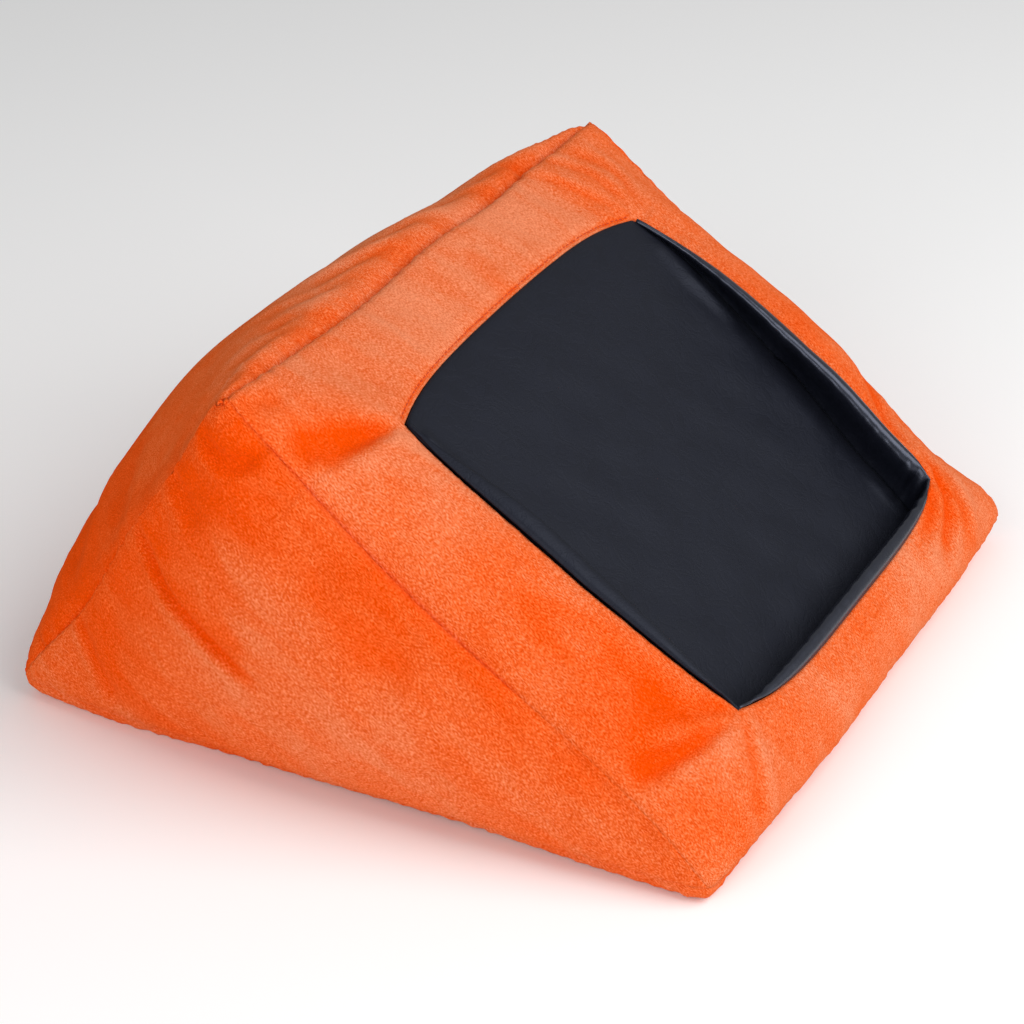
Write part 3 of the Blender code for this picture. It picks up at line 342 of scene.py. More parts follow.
class CushionSizes(bpy.types.PropertyGroup):
    base_width: metric("Base width", "Between the ends' base seams", 0.366)
    base_depth: metric("Base depth", "Between the front and back base seams", 0.356)
    ridge_width: metric("Ridge width", "Length of the seam along the top", 0.359)
    ridge_height: metric("Ridge height", "From the base seams up to the ridge", 0.182)
    ridge_from_back: metric("Ridge setback", "From the back base seam forward to the ridge", 0.1137)
    seam_lift: metric("Seam lift", "The base seams hang this far above the ground", 0.008)
    cell: metric("Cell", "Size of the cloth's mesh cells", 0.0025)
    groove: metric("Seam groove", "How deep the seams draw the plush in", 0.0014)
    pucker: metric("Seam pucker", "Height of the puckers along the seams", 0.0006)
    drape_cap: metric("Drape cap", "Furthest that the simulated cloth may move", 0.003)
    drape_frames: IntProperty(
        name="Drape frames", description="Frames that the cloth settles for", default=20, min=2
    )


class RestSizes(bpy.types.PropertyGroup):
    held_length: metric("Held length", "Long side of the flat thing that it holds", 0.240)
    held_width: metric("Held width", "Short side of the flat thing that it holds", 0.1695)
    tilt: angle("Tilt", "Slant of the rest's floor", 39.2)
    window_width: metric("Window width", "Width of the window at its corners", 0.236)


class StitchSizes(bpy.types.PropertyGroup):
    length: metric("Stitch length", "Length of one stitch", 0.0026)
    gap: metric("Stitch gap", "Cloth between two stitches", 0.0009)
    thread: metric("Thread", "Thickness of the thread", 0.0005)


class Finishes(bpy.types.PropertyGroup):
    # The deep and pale plush colours also serve as painted shade and painted sheen
    plush_deep: colour("Plush, against the nap", "Deepest tone, also painted shade", (0.82, 0.064, 0.0004))
    plush_colour: colour("Plush", "Most of the cover", (0.81, 0.130, 0.026))
    plush_light: colour("Plush, with the nap", "Palest tone, also painted sheen", (0.79, 0.245, 0.118))
    plush_sheen: colour("Plush sheen", "Light that the pile's tips throw back", (1.0, 0.36, 0.10))
    leatherette: colour("Leatherette", "Coated cloth round the rest", (0.0035, 0.0040, 0.0070))
    calico: colour("Calico", "Bag that holds the beads", (0.78, 0.76, 0.70))
    foam: colour("Foam", "Slab under the rest", (0.5, 0.51, 0.53))
    beads: colour("Beads", "Filling", (0.92, 0.92, 0.92))
    # The thread is darker than the plush-coloured real thread: painted shade of the stitch line's groove
    thread: colour("Thread", "Topstitching", (0.55, 0.05, 0.004))
    zip_cloth: colour("Zip tape", "Woven tape", (0.85, 0.12, 0.01))
    zip_teeth: colour("Zip teeth", "Moulded teeth", (0.9, 0.14, 0.015))
    metal: colour("Zip metal", "Slider, pull and stops", (0.72, 0.72, 0.70))


class StageSetting(bpy.types.PropertyGroup):
    azimuth: angle("Azimuth", "Camera's turn about the cushion", -62.89)
    elevation: angle("Elevation", "Camera's tilt down", 29.34)
    roll: angle("Roll", "Camera's turn about its own axis", -0.88)
    place: FloatVectorProperty(
        name="Place", description="Where the camera stands", default=(-1.1443, -0.5720, 0.7763), size=3,
        subtype="TRANSLATION",
    )
    focal_pixels: FloatProperty(
        name="Focal length", description="In the picture's pixels", default=3000.0
    )


class CushionLook(bpy.types.PropertyGroup):
    cushion: PointerProperty(type=CushionSizes)
    rest: PointerProperty(type=RestSizes)
    stitch: PointerProperty(type=StitchSizes)
    finish: PointerProperty(type=Finishes)
    stage: PointerProperty(type=StageSetting)


def look():
    return bpy.context.scene.cushion_look


# Small tools for arrays of points


def metres(entry):
    """A number or table of millimetres, in metres."""
    return tuple(metres(part) for part in entry) if isinstance(entry, tuple) else entry / 1000


def mix(start, end, share):
    return start + (end - start) * share


def span(vectors):
    """Lengths of vectors."""
    return np.linalg.norm(vectors, axis=-1)


def unit(vectors):
    return vectors / np.maximum(span(vectors)[..., None], TINY)


def paired(first, second):
    return np.broadcast_arrays(np.asarray(first, float), np.asarray(second, float))


def bell(places, width):
    """1 at 0, falling smoothly to nothing some widths away."""
    return np.exp(-((places / width) ** 2))


def rounded(near):
    """0 at 0 and 1 at 1, along a quarter of a circle that ends upright."""
    return 1 - np.sqrt(np.clip(1 - np.clip(near, 0, 1) ** 2, 0, 1))


def swell(share, rise, fade):
    """A hump over 0 to 1 with its top at 1, leaning towards 0 when rise is under fade."""
    share = np.clip(share, 0.0, 1.0)
    top = rise / (rise + fade)
    return share**rise * (1 - share) ** fade / (top**rise * (1 - top) ** fade)


def plateau(share, flat, power=2.0):
    """1 across the middle, falling to 0 at either end of -1 to 1."""
    past = np.clip((np.abs(share) - flat) / (1 - flat), 0.0, 1.0)
    return 1 - past**power


def graded(count, towards=0.35):
    """Shares from 0 to 1 that lie closer together at both ends."""
    even = np.linspace(0, 1, count + 1)
    return mix(even, 0.5 - 0.5 * np.cos(np.pi * even), towards)


def smooth_step(share):
    share = np.clip(share, 0.0, 1.0)
    return share * share * (3 - 2 * share)


def ripple(places, length, seed):
    """Soft seeded noise between -1 and 1 along one number or over points."""
    places = np.asarray(places, float)
    if places.ndim == 1:
        places = places[:, None]
    generator = np.random.default_rng(seed)
    total = np.zeros(len(places))
    for _ in range(RIPPLE_WAVES):
        direction = unit(generator.normal(size=places.shape[1]))
        pace = generator.uniform(*RIPPLE_PACES) * 2 * np.pi / length
        total += np.sin(places @ direction * pace + generator.uniform(0, 2 * np.pi))
    return total / math.sqrt(RIPPLE_WAVES)


def lit_grid(points):
    """Unit normals of a grid of points, by rows and columns."""
    return unit(np.cross(np.gradient(points, axis=1), np.gradient(points, axis=0)))


def tree_of(points):
    """A tree that finds the nearest of the points."""
    tree = KDTree(len(points))
    for index, point in enumerate(points):
        tree.insert(point, index)
    tree.balance()
    return tree


# Small tools for meshes


@contextmanager
def edited(data):
    """Opens a mesh for editing, and writes it back."""
    work = bmesh.new()
    work.from_mesh(data)
    yield work
    work.to_mesh(data)
    work.free()


def grid_faces(rows, columns, flipped=False):
    """Corner numbers of a grid's quads."""
    start = (np.arange(rows - 1)[:, None] * columns + np.arange(columns - 1)[None, :]).ravel()
    quads = np.stack((start, start + 1, start + columns + 1, start + columns), axis=1)
    return quads[:, ::-1] if flipped else quads


def mesh_from(name, points, faces):
    data = bpy.data.meshes.new(name)
    data.from_pydata(points.reshape(-1, 3).tolist(), [], faces.tolist())
    data.validate()
    return data


def new_object(name, data):
    made = bpy.data.objects.new(name, data)
    bpy.context.scene.collection.objects.link(made)
    return made


def bake(made):
    """Replaces an object's mesh by what its modifiers make of it."""
    evaluated = made.evaluated_get(bpy.context.evaluated_depsgraph_get())
    data = bpy.data.meshes.new_from_object(evaluated)
    made.modifiers.clear()
    made.data = data
    return made


def places_of(vertices):
    return np.array([vert.co for vert in vertices])


class Wedge:
    """The filled cushion's surfaces. across runs -1 to 1; shares run from a base seam to the ridge."""

    def __init__(self):
        sizes, rest = look().cushion, look().rest
        self.half_base, self.half_ridge = sizes.base_width / 2, sizes.ridge_width / 2
        self.depth, self.lift, self.height = sizes.base_depth, sizes.seam_lift, sizes.ridge_height
        self.front_foot = np.array((0, -self.depth / 2, self.lift))
        self.back_foot = np.array((0, self.depth / 2, self.lift))
        ridge_y = self.depth / 2 - sizes.ridge_from_back
        self.ridge = np.array((0, ridge_y, self.lift + self.height))
        self.front_normal = unit(np.cross(X_AXIS, self.ridge - self.front_foot))
        self.back_normal = unit(np.cross(X_AXIS, self.back_foot - self.ridge))
        self.normals = {
            "front": self.front_normal, "back_upper": self.back_normal, "back_lower": self.back_normal,
            "base": -Z_AXIS, "end_left": -X_AXIS, "end_right": X_AXIS,
        }
        self.rest_up = np.array((0, math.cos(rest.tilt), math.sin(rest.tilt)))
        self.rest_normal = np.cross(X_AXIS, self.rest_up)
        self.rest_centre = self.front_foot + np.array((0, REST_FROM_FRONT, REST_ABOVE_SEAM))
        self.window_width = rest.window_width
        self.held = rest.held_length, rest.held_width
        zip_low, zip_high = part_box("zip_teeth_lower"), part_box("zip_teeth_upper")
        self.zip_length = zip_high[1].x - zip_low[0].x
        self.half_at_zip = self.half_width(mix(self.back_foot, self.ridge, ZIP_SHARE)[2])
        self.slot_half = self.zip_length / 2 + SLOT_OVERRUN

    def half_width(self, z):
        return mix(self.half_base, self.half_ridge, (z - self.lift) / self.height)

    def shoulder(self, foot):
        """Where a flat side starts to round off: its share of the way up, and its place."""
        blunt = 1 - RIDGE_BLUNT / span(self.ridge - foot)
        return blunt, mix(foot, self.ridge, blunt)

    def rise(self, foot, share):
        """Up a flat side from its foot, rounding off to the blunted ridge."""
        blunt, shoulder = self.shoulder(foot)
        tip = (self.shoulder(self.front_foot)[1] + self.shoulder(self.back_foot)[1]) / 2
        control = mix(shoulder, self.ridge, SADDLE_SHARE)
        turn = np.clip((share - blunt) / (1 - blunt), 0, 1)[..., None]
        straight = mix(foot, self.ridge, np.minimum(share, blunt)[..., None])
        curve = (1 - turn) ** 2 * shoulder + 2 * turn * (1 - turn) * control + turn**2 * tip
        return np.where(turn > 0, curve, straight)

    def swollen(self, foot, normal, across, share, out):
        """A side pushed out from its flat outline, and dipping along the ridge."""
        points = self.rise(foot, share) + normal * out[..., None]
        points[..., 2] -= RIDGE_DIP * swell(1 - np.abs(across), *DIP_SWELL) * share**LOCAL_SHARE
        points[..., 0] = across * self.half_width(points[..., 2])
        return points

    def front(self, across, share):
        across, share = paired(across, share)
        flat = (self.window_width / 2 + WINDOW_SIDE_BOW) / self.half_base
        crown = FRONT_CROWN * swell(share, *NOSE_SWELL)
        wave = FRONT_SEAM_WAVE * np.sin(2 * np.pi * share**SEAM_WAVE_SHARE)
        out = mix(wave, crown, plateau(across, flat, mix(*FRONT_POWERS, share)))
        return self.swollen(self.front_foot, self.front_normal, across, share, out)

    def back(self, across, share):
        across, share = paired(across, share)
        zip_flat = (self.zip_length / 2 + BACK_FLAT_OVERRUN) / self.half_at_zip
        above_zip = np.clip((share - 2 * ZIP_SHARE) / (1 - 4 * ZIP_SHARE), 0, 1)
        flat = mix(zip_flat, BACK_FLAT_SHARE, above_zip)
        hump = swell(share, *BACK_SWELL)
        out = mix(-BACK_SEAM_DRAW * hump, BACK_CROWN * hump, plateau(across, flat))
        return self.swollen(self.back_foot, self.back_normal, across, share, out)

    def slot_opening(self):
        """Half the zip slot's width as a share of the way up the back."""
        low, high = self.back(0.0, ZIP_SHARE * (1 - ZIP_SHARE)), self.back(0.0, ZIP_SHARE * (1 + ZIP_SHARE))
        return SLOT_WIDTH * ZIP_SHARE * ZIP_SHARE / span(high - low)

    def end_bow(self, deep, z):
        fade = np.clip(1 - (z - self.lift) / self.height, 0, 1) ** LOCAL_SHARE
        return END_SEAM_BOW * plateau(2 * deep - 1, 0.0) * fade

    def base(self, across, share):
        across, share = paired(across, share)
        flat_across = 1 - BASE_ROUNDING / self.half_base
        flat_deep = 1 - BASE_ROUNDING / (self.depth / 2)
        lying = plateau(across, flat_across) * plateau(2 * share - 1, flat_deep)
        points = mix(self.front_foot, self.back_foot, share[..., None])
        points[..., 2] = self.lift * (1 - np.sqrt(lying))
        points[..., 0] = across * (self.half_base + self.end_bow(share, self.lift))
        return points

    def end(self, front_edge, back_edge, places):
        """Rows between the two edges of an end panel, swollen outwards."""
        points = mix(front_edge[:, None], back_edge[:, None], places[None, :, None])
        share = np.clip((points[..., 2] - self.lift) / self.height, 0, 1)
        front_y = mix(self.front_foot[1], self.ridge[1], share)
        back_y = mix(self.back_foot[1], self.ridge[1], share)
        deep = (points[..., 1] - front_y) / np.maximum(back_y - front_y, RIDGE_BLUNT)
        swollen = np.clip(4 * deep * (1 - deep), 0, 1) * swell(share, *END_SWELL)
        inside = (places > 0) & (places < 1)
        points[..., 0] += (END_CROWN * swollen + self.end_bow(deep, points[..., 2])) * inside
        return points

    def shaped(self, points):
        """The filling's uneven shape, which every piece shares."""
        moved = np.zeros_like(points)
        for middle, reach, move in metres(PUSHES):
            moved += bell(span(points - middle), reach)[..., None] * move
        return points + moved * self.calm(points)[..., None]

    def calm(self, points):
        """0 over the zip's tapes, which keep the cloth flat, and 1 away from them."""
        past_end = np.maximum(0, np.abs(points[..., 0]) - self.slot_half)
        away = span(points[..., 1:] - self.back(0.0, ZIP_SHARE)[1:])
        return smooth_step((np.hypot(past_end, away) - CALM_NEAR) / (CALM_FAR - CALM_NEAR))

    # Window: side runs -1 to 1 across it, run from 0 at its foot to 1 at its head

    def window_half(self, side, run):
        left = np.interp(run, WINDOW_SPREAD_RUN, WINDOW_SPREAD_LEFT)
        right = np.interp(run, WINDOW_SPREAD_RUN, WINDOW_SPREAD_RIGHT)
        spread = np.where(np.asarray(side) < 0, left, right)
        return self.window_width / 2 + WINDOW_SIDE_BOW * (1 - np.abs(2 * run - 1) ** CORNER_SHARE) + spread

    def window_share(self, side, run, inside=1.0):
        bow = 1 - np.minimum(1.0, np.abs(side)) ** CORNER_SHARE
        foot = WINDOW_FOOT_SHARE - WINDOW_FOOT_BOW_SHARE * bow
        head = WINDOW_HEAD_SHARE + WINDOW_HEAD_BOW_SHARE * bow + WINDOW_HEAD_SKEW * side * inside
        return mix(foot, head, run)

    def rim(self, side, run):
        return self.front(side * self.window_half(side, run) / self.half_base, self.window_share(side, run))

    def rest(self, side, run):
        """Top of the rest's floor: flat under what it holds, rounding off to the window's head."""
        side, run = paired(side, run)
        half = np.full(run.shape, self.held[0] / 2 + REST_SIDE_CLEARANCE)
        edge = np.where(side < 0, -1.0, 1.0)
        narrow = np.abs(self.rim(edge, run)[..., 0]) - LEATHER_THICKNESS - 2 * GAP
        half = np.where(run > 0.5, np.minimum(half, narrow), half)
        head = self.rim(side, np.ones(run.shape)) - self.rest_centre
        reach = mix(-self.held[1] / 2 - REST_FOOT_CLEARANCE, head @ self.rest_up - GAP, run)
        rounding = np.clip((run - FLAT_FLOOR_SHARE) / (1 - FLAT_FLOOR_SHARE), 0, 1) ** 2
        across = X_AXIS * (side * mix(half, narrow, rounding))[..., None]
        drop = self.rest_normal * ((head @ self.rest_normal) * rounding)[..., None]
        return self.rest_centre + across + self.rest_up * reach[..., None] + drop

    def wall_foot(self, side, run):
        """The floor's edge, moved out past its turned-down border."""
        side, run = paired(side, run)
        out = X_AXIS * ((np.abs(side) == 1) * side)[..., None] - self.rest_up * (run == 0)[..., None]
        return self.rest(side, run) + out * (LEATHER_THICKNESS + GAP)

    def wall(self, side, run, step, inwards, bulge):
        """Back of a recess wall: step 0 is the floor's level, step 1 the window's edge."""
        foot, rim = self.wall_foot(side, run), self.rim(side, run) + inwards * GAP
        swollen = bulge * swell(step, *WALL_SWELL)
        points = mix(foot, rim, np.clip(step, 0, 1)[..., None]) + inwards * swollen[..., None]
        risen = WALL_ROLL * swollen + np.minimum(step, 0) * WALL_TUCK
        return points + self.rest_normal * risen[..., None]


# Cover


class Panels:
    """Grids of points of the cover's panels, which share their seams point for point."""

    def __init__(self, wedge, cell, slotted=True):
        def steps(length, least):
            return max(least, round(length / cell))

        slope = span(wedge.ridge - wedge.front_foot)
        side_count = steps(wedge.half_base - wedge.window_width / 2, least=4)
        window_count = steps(wedge.window_width, least=8)
        nose_count = steps(slope * WINDOW_FOOT_SHARE, least=4)
        run_count = steps(slope * (WINDOW_HEAD_SHARE - WINDOW_FOOT_SHARE), least=8)
        head_count = steps(slope * (1 - WINDOW_HEAD_SHARE), least=4)
        near_head = np.array(HEAD_ROWS) / (slope * (1 - WINDOW_HEAD_SHARE))
        head_part = np.concatenate((near_head, mix(near_head[-1], 1, graded(head_count)[1:])))
        to_head = nose_count + run_count
        self.nose = np.concatenate((graded(nose_count), np.ones(run_count + len(head_part))))
        self.run = np.concatenate((np.zeros(nose_count), graded(run_count), np.ones(len(head_part))))
        self.head = np.concatenate((np.zeros(to_head + 1), head_part))
        self.window = np.s_[nose_count : to_head + 1, side_count : side_count + window_count + 1]
        past, edge = graded(side_count), np.ones(side_count)
        inside = np.linspace(-1, 1, window_count + 1)
        self.side = np.concatenate((-edge, inside, edge))
        self.past = np.concatenate((past[:0:-1], np.zeros(window_count + 1), past[1:]))
        self.places = graded(steps(wedge.depth, least=12))
        self.build(wedge, wedge.slot_opening() if slotted else 0.0)

    def build(self, wedge, opening):
        side, run, past = self.side[None, :], self.run[:, None], self.past[None, :]
        across = side * mix(wedge.window_half(side, run) / wedge.half_base, 1.0, past)
        share = wedge.window_share(side, run, 1 - past) * self.nose[:, None]
        share = mix(share, 1.0, self.head[:, None])
        self.front = wedge.front(across, share)
        across, edge_share = across[:1], share[:, 0]
        slot_row = int(np.searchsorted(edge_share, ZIP_SHARE))
        low = ZIP_SHARE * np.arange(slot_row + 1)[:, None] / slot_row
        base_share = edge_share[slot_row]
        high = (edge_share[slot_row:, None] - base_share) / (1 - base_share)
        slot_end = wedge.slot_half / wedge.half_at_zip
        taper = np.clip((slot_end - np.abs(across)) * wedge.half_at_zip / SLOT_TAPER, 0, 1)
        self.back_lower = wedge.back(across, low * (1 - opening * taper / ZIP_SHARE))
        self.back_upper = wedge.back(across, mix(ZIP_SHARE, 1.0, high) + opening * taper * (1 - high))
        self.base = wedge.base(across, self.places[:, None])
        self.end_right = wedge.end(self.front[:, -1], self.back_edge(-1), self.places)
        self.end_left = self.end_right * np.array((-1, 1, 1))

    def back_edge(self, column):
        return np.concatenate((self.back_lower[:, column], self.back_upper[1:, column]))


# Each panel's neighbours: at its first row, last row, first column and last column
BESIDE = {
    "front": ("base", "back_upper", "end_left", "end_right"),
    "back_upper": (None, "front", "end_left", "end_right"),
    "back_lower": ("base", None, "end_left", "end_right"),
    "base": ("front", "back_lower", "end_left", "end_right"),
    "end_left": ("base", None, "front", "back_upper"),
    "end_right": ("base", None, "front", "back_upper"),
}
BORDERS = (np.s_[0, :], np.s_[-1, :], np.s_[:, 0], np.s_[:, -1])
FLIPPED = ("back_upper", "back_lower", "base", "end_left")


class Seams:
    """Where the panels are sewn together: points, the way into the cushion, and length run along."""

    def __init__(self, panels, wedge):
        normals, front = wedge.normals, panels.front
        self.points, self.leans, self.lengths = [], [], []
        for line, first, second in (
            (front[0], "front", "base"),
            (front[-1], "front", "back_upper"),
            (front[:, 0], "front", "end_left"),
            (front[:, -1], "front", "end_right"),
            (panels.back_lower[0], "back_lower", "base"),
            (panels.back_edge(0), "back_upper", "end_left"),
            (panels.back_edge(-1), "back_upper", "end_right"),
            (panels.base[:, 0], "base", "end_left"),
            (panels.base[:, -1], "base", "end_right"),
        ):
            self.add(line, -unit(normals[first] + normals[second]))
        run, side = np.linspace(0, 1, LINE_POINTS), np.linspace(-1, 1, LINE_POINTS)
        for rim in (wedge.rim(-1.0, run), wedge.rim(1.0, run), wedge.rim(side, 0.0), wedge.rim(side, 1.0)):
            self.add(rim, -wedge.front_normal * RIM_GROOVE_SHARE)
        self.corners = []
        for side, end in ((-1, "end_left"), (1, "end_right")):
            for place, *beside in (
                (front[0, -1], "front", "base", end),
                (panels.back_lower[0, -1], "back_lower", "base", end),
                (front[-1, -1], "front", "back_upper", end),
            ):
                inward = -unit(sum(normals[name] for name in beside))
                self.corners.append((place * np.array((side, 1, 1)), inward))
        self.leans, self.lengths = np.concatenate(self.leans), np.concatenate(self.lengths)
        self.tree = tree_of(np.concatenate(self.points))

    def add(self, line, lean):
        """Adds a line of seam as points a millimetre apart."""
        along = np.concatenate(((0.0,), np.cumsum(span(np.diff(line, axis=0)))))
        fine = np.linspace(0, along[-1], max(2, int(along[-1] * SEAM_POINTS_PER_METRE)))
        self.points.append(np.stack([np.interp(fine, along, part) for part in line.T], axis=1))
        self.leans.append(np.repeat(lean[None], len(fine), axis=0))
        self.lengths.append(fine + len(self.lengths))

    def nearest(self, points):
        """How far each point is from a seam, and the number of the seam's point."""
        found = [self.tree.find(point) for point in points]
        return np.array([item[2] for item in found]), np.array([item[1] for item in found])


def sew(points, normals, seams, groove, pucker):
    """Draws the plush in at its seams, with rounded shoulders and puckers beside them."""
    distance, index = seams.nearest(points)
    drawn = groove * rounded(1 - distance / GROOVE_WIDTH)
    shoulder = SHOULDER * bell(distance - SHOULDER_REACH, SHOULDER_REACH / 2)
    waves = ripple(seams.lengths[index], PUCKER_LENGTH, PUCKER_SEED)
    fade = np.exp(-distance / PUCKER_REACH) * (1 - np.exp(-distance / PUCKER_START))
    moved = points + seams.leans[index] * drawn[:, None]
    moved += normals * (shoulder + pucker * waves * fade)[:, None]
    for corner, inward in seams.corners:
        moved += inward * (CORNER_DRAW * rounded(1 - span(points - corner) / CORNER_REACH))[:, None]
    return moved


class Drape:
    """Moves of a simulated skin, which wrinkles between its pinned seams, read at any point near it."""

    def __init__(self, wedge, seams):
        body = self.closed_body(wedge)
        self.rest = places_of(body.data.vertices)
        shift = self.simulate(body, seams) - self.rest
        shift = self.blurred(body.data, shift, FINE_ROUNDS) - self.blurred(body.data, shift, BROAD_ROUNDS)
        shift *= np.minimum(1, look().cushion.drape_cap / np.maximum(span(shift), TINY))[:, None]
        self.moved = self.rest + DRAPE_SHARE * shift
        body.data.calc_loop_triangles()
        self.triangles = [tuple(t.vertices) for t in body.data.loop_triangles]
        self.tree = BVHTree.FromPolygons([Vector(p) for p in self.rest], self.triangles)
        bpy.data.objects.remove(body)

    def closed_body(self, wedge):
        """The whole cushion with its hollow rest as one skin, remeshed into even cells."""
        panels = Panels(wedge, SKIN_GRID, slotted=False)
        sheets = {name: getattr(panels, name).copy() for name in BESIDE}
        rows, columns = panels.window
        hollow = wedge.rest(panels.side[None, columns], panels.run[rows, None])
        sheets["front"][panels.window][1:-1, 1:-1] = hollow[1:-1, 1:-1]
        points, faces, count = [], [], 0
        for name, sheet in sheets.items():
            points.append(sheet.reshape(-1, 3))
            faces.append(grid_faces(*sheet.shape[:2], name in FLIPPED) + count)
            count += len(points[-1])
        body = new_object("skin", mesh_from("skin", np.concatenate(points), np.concatenate(faces)))
        with edited(body.data) as cloth:
            bmesh.ops.remove_doubles(cloth, verts=cloth.verts, dist=SKIN_WELD)
            bmesh.ops.recalc_face_normals(cloth, faces=cloth.faces)
        remesh = body.modifiers.new("remesh", "REMESH")
        remesh.mode = "VOXEL"
        remesh.voxel_size = SKIN_CELL
        return bake(body)

    def simulate(self, body, seams):
        """Lets the skin shrink and swell as cloth that its seams hold, and gives its places."""
        scene, frames = bpy.context.scene, look().cushion.drape_frames
        held = body.vertex_groups.new(name="held")
        for index, away in enumerate(seams.nearest(self.rest)[0]):
            held.add([index], float(np.clip(PIN_FULL - away / PIN_REACH, 0, 1)), "REPLACE")
        cloth = body.modifiers.new("cloth", "CLOTH")
        for key, value in CLOTH.items():
            setattr(cloth.settings, key, value)
        cloth.settings.vertex_group_mass = held.name
        cloth.settings.effector_weights.gravity = 0
        cloth.point_cache.frame_end = frames
        for step in range(1, frames + 1):
            scene.frame_set(step)
        found = body.evaluated_get(bpy.context.evaluated_depsgraph_get())
        moved = places_of(found.data.vertices)
        body.modifiers.remove(cloth)
        scene.frame_set(1)
        return moved

    def blurred(self, data, values, rounds):
        """Each value averaged with its neighbours' many times over: the broad part of the moves."""
        edges = np.array([tuple(edge.vertices) for edge in data.edges])
        counts = np.bincount(edges.ravel(), minlength=len(values))[:, None]
        for _ in range(rounds):
            total = values.copy()
            np.add.at(total, edges[:, 0], values[edges[:, 1]])
            np.add.at(total, edges[:, 1], values[edges[:, 0]])
            values = total / (counts + 1)
        return values

    def shift(self, points):
        """The simulated move at each point."""
        moves = np.zeros_like(points)
        for index, point in enumerate(points):
            place, _, face, _ = self.tree.find_nearest(Vector(point))
            corners = self.triangles[face]
            before, after = ([Vector(held[c]) for c in corners] for held in (self.rest, self.moved))
            moves[index] = barycentric_transform(place, *before, *after) - place
        return moves


def turned_sheet(name, points, faces, turns, thickness, nap=None):
    """A sheet whose border is turned in along each corner's own vector, then thickened inwards."""
    data = mesh_from(name, points, faces)
    # Stores the plush's painted sheen and painted shade on its points
    if nap is not None:
        data.attributes.new("nap", "FLOAT", "POINT").data.foreach_set("value", nap.astype(np.float32))
    with edited(data) as cloth:
        turn = cloth.verts.layers.float_vector.new("turn")
        for vert, vector in zip(cloth.verts, turns.reshape(-1, 3)):
            vert[turn] = Vector(vector)
        loose = [vert for vert in cloth.verts if not vert.link_faces]
        bmesh.ops.delete(cloth, geom=loose, context="VERTS")
        border = [
            edge for edge in cloth.edges
            if edge.is_boundary and all(Vector(vert[turn]).length > 0 for vert in edge.verts)
        ]
        for part in bmesh.ops.extrude_edge_only(cloth, edges=border)["geom"]:
            if isinstance(part, bmesh.types.BMVert):
                part.co += Vector(part[turn])
        for face in cloth.faces:
            face.smooth = True
    made = new_object(name, data)
    solid = made.modifiers.new("thickness", "SOLIDIFY")
    solid.thickness = thickness
    solid.offset = -1
    solid.use_even_offset = False
    return made


def seam_turns(panels, name, wedge):
    """Per corner of a panel, the turned-in allowance at its seams and nothing elsewhere."""
    turns = np.zeros_like(getattr(panels, name))
    for other, border in zip(BESIDE[name], BORDERS):
        if other:
            turns[border] = -unit(wedge.normals[name] + wedge.normals[other]) * SEAM_TURN
    return turns


def dress(made, node, finish):
    """Puts a finished piece on the cushion in place of its CAD node."""
    made.data.materials.clear()
    made.data.materials.append(finish)
    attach(made, "cushion")
    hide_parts(node)


def settled(points):
    """Keeps cloth out of the ground."""
    points[:, 2] = np.maximum(points[:, 2], GAP / 3)
    return points


class CUSHION_OT_cover(bpy.types.Operator):
    """Sews the plush cover and lets the filling drape it"""

    bl_idname = "cushion.cover"
    bl_label = "Plush cover"

    def execute(self, context):
        sizes, wedge = look().cushion, Wedge()
        panels = Panels(wedge, sizes.cell)
        seams = Seams(panels, wedge)
        drape = Drape(wedge, seams)
        finish = plush_finish()
        for name in BESIDE:
            grid = getattr(panels, name)
            normals = lit_grid(grid) * (-1 if name in FLIPPED else 1)
            points, normals = grid.reshape(-1, 3), normals.reshape(-1, 3)
            draped = drape.shift(points) if drape else 0
            # fold() also gives the plush's painted sheen and painted shade
            folded, nap = fold(points, normals, name, wedge, seams.nearest(points)[0])
            sewn = sew(points, normals, seams, sizes.groove, sizes.pucker)
            dip = topstitch_dip(wedge, name, points)
            moved = sewn + draped + folded - 2 * points
            calmed = points + moved * wedge.calm(points)[:, None]
            points = settled(wedge.shaped(calmed - normals * (STITCH_DIP * dip)[:, None]))
            faces = grid_faces(*grid.shape[:2], name in FLIPPED)
            turns = seam_turns(panels, name, wedge)
            if name == "front":
                faces = cut_window(panels, wedge, faces, turns)
            # Painted shade along the topstitching's dip
            nap = np.clip(nap + STITCH_SHADE * dip, -1, 1)
            made = turned_sheet("plush_" + name, points, faces, turns, PLUSH_THICKNESS, nap)
            dress(made, "cover_" + name, finish)
        return {"FINISHED"}


def cut_window(panels, wedge, faces, turns):
    """Leaves the window out of the front's faces and turns its edge down into the rest."""
    rows, columns = panels.window
    row, column = np.divmod(faces[:, 0], panels.front.shape[1])
    inside = (row >= rows.start) & (row < rows.stop - 1)
    inside &= (column >= columns.start) & (column < columns.stop - 1)
    side, run = paired(panels.side[None, columns], panels.run[rows, None])
    down = wedge.wall_foot(side, run) - wedge.rim(side, run)
    lean = np.where(span(down)[..., None] > WALL_TUCK, unit(down), -wedge.rest_normal)
    rim = (np.abs(side) == 1) | (run == 0) | (run == 1)
    turns[panels.window][rim] = lean[rim] * SEAM_TURN
    return faces[~inside]


# Folds of the plush


def course(stops, steps=10):
    """A smooth line through the stops, its tangents, and each point's share along it."""
    stops = np.array(stops, float)
    padded = np.concatenate((2 * stops[:1] - stops[1:2], stops, 2 * stops[-1:] - stops[-2:-1]))
    line = []
    for index in range(len(stops) - 1):
        before, start, end, after = padded[index : index + 4]
        turn = np.linspace(0, 1, steps, endpoint=index == len(stops) - 2)[:, None]
        line.append(
            start
            + turn * (end - before) / 2
            + turn**2 * (before - 2.5 * start + 2 * end - after / 2)
            + turn**3 * (1.5 * start - before / 2 - 1.5 * end + after / 2)
        )
    line = np.concatenate(line)
    return line, unit(np.gradient(line, axis=0)), np.linspace(0, 1, len(line))


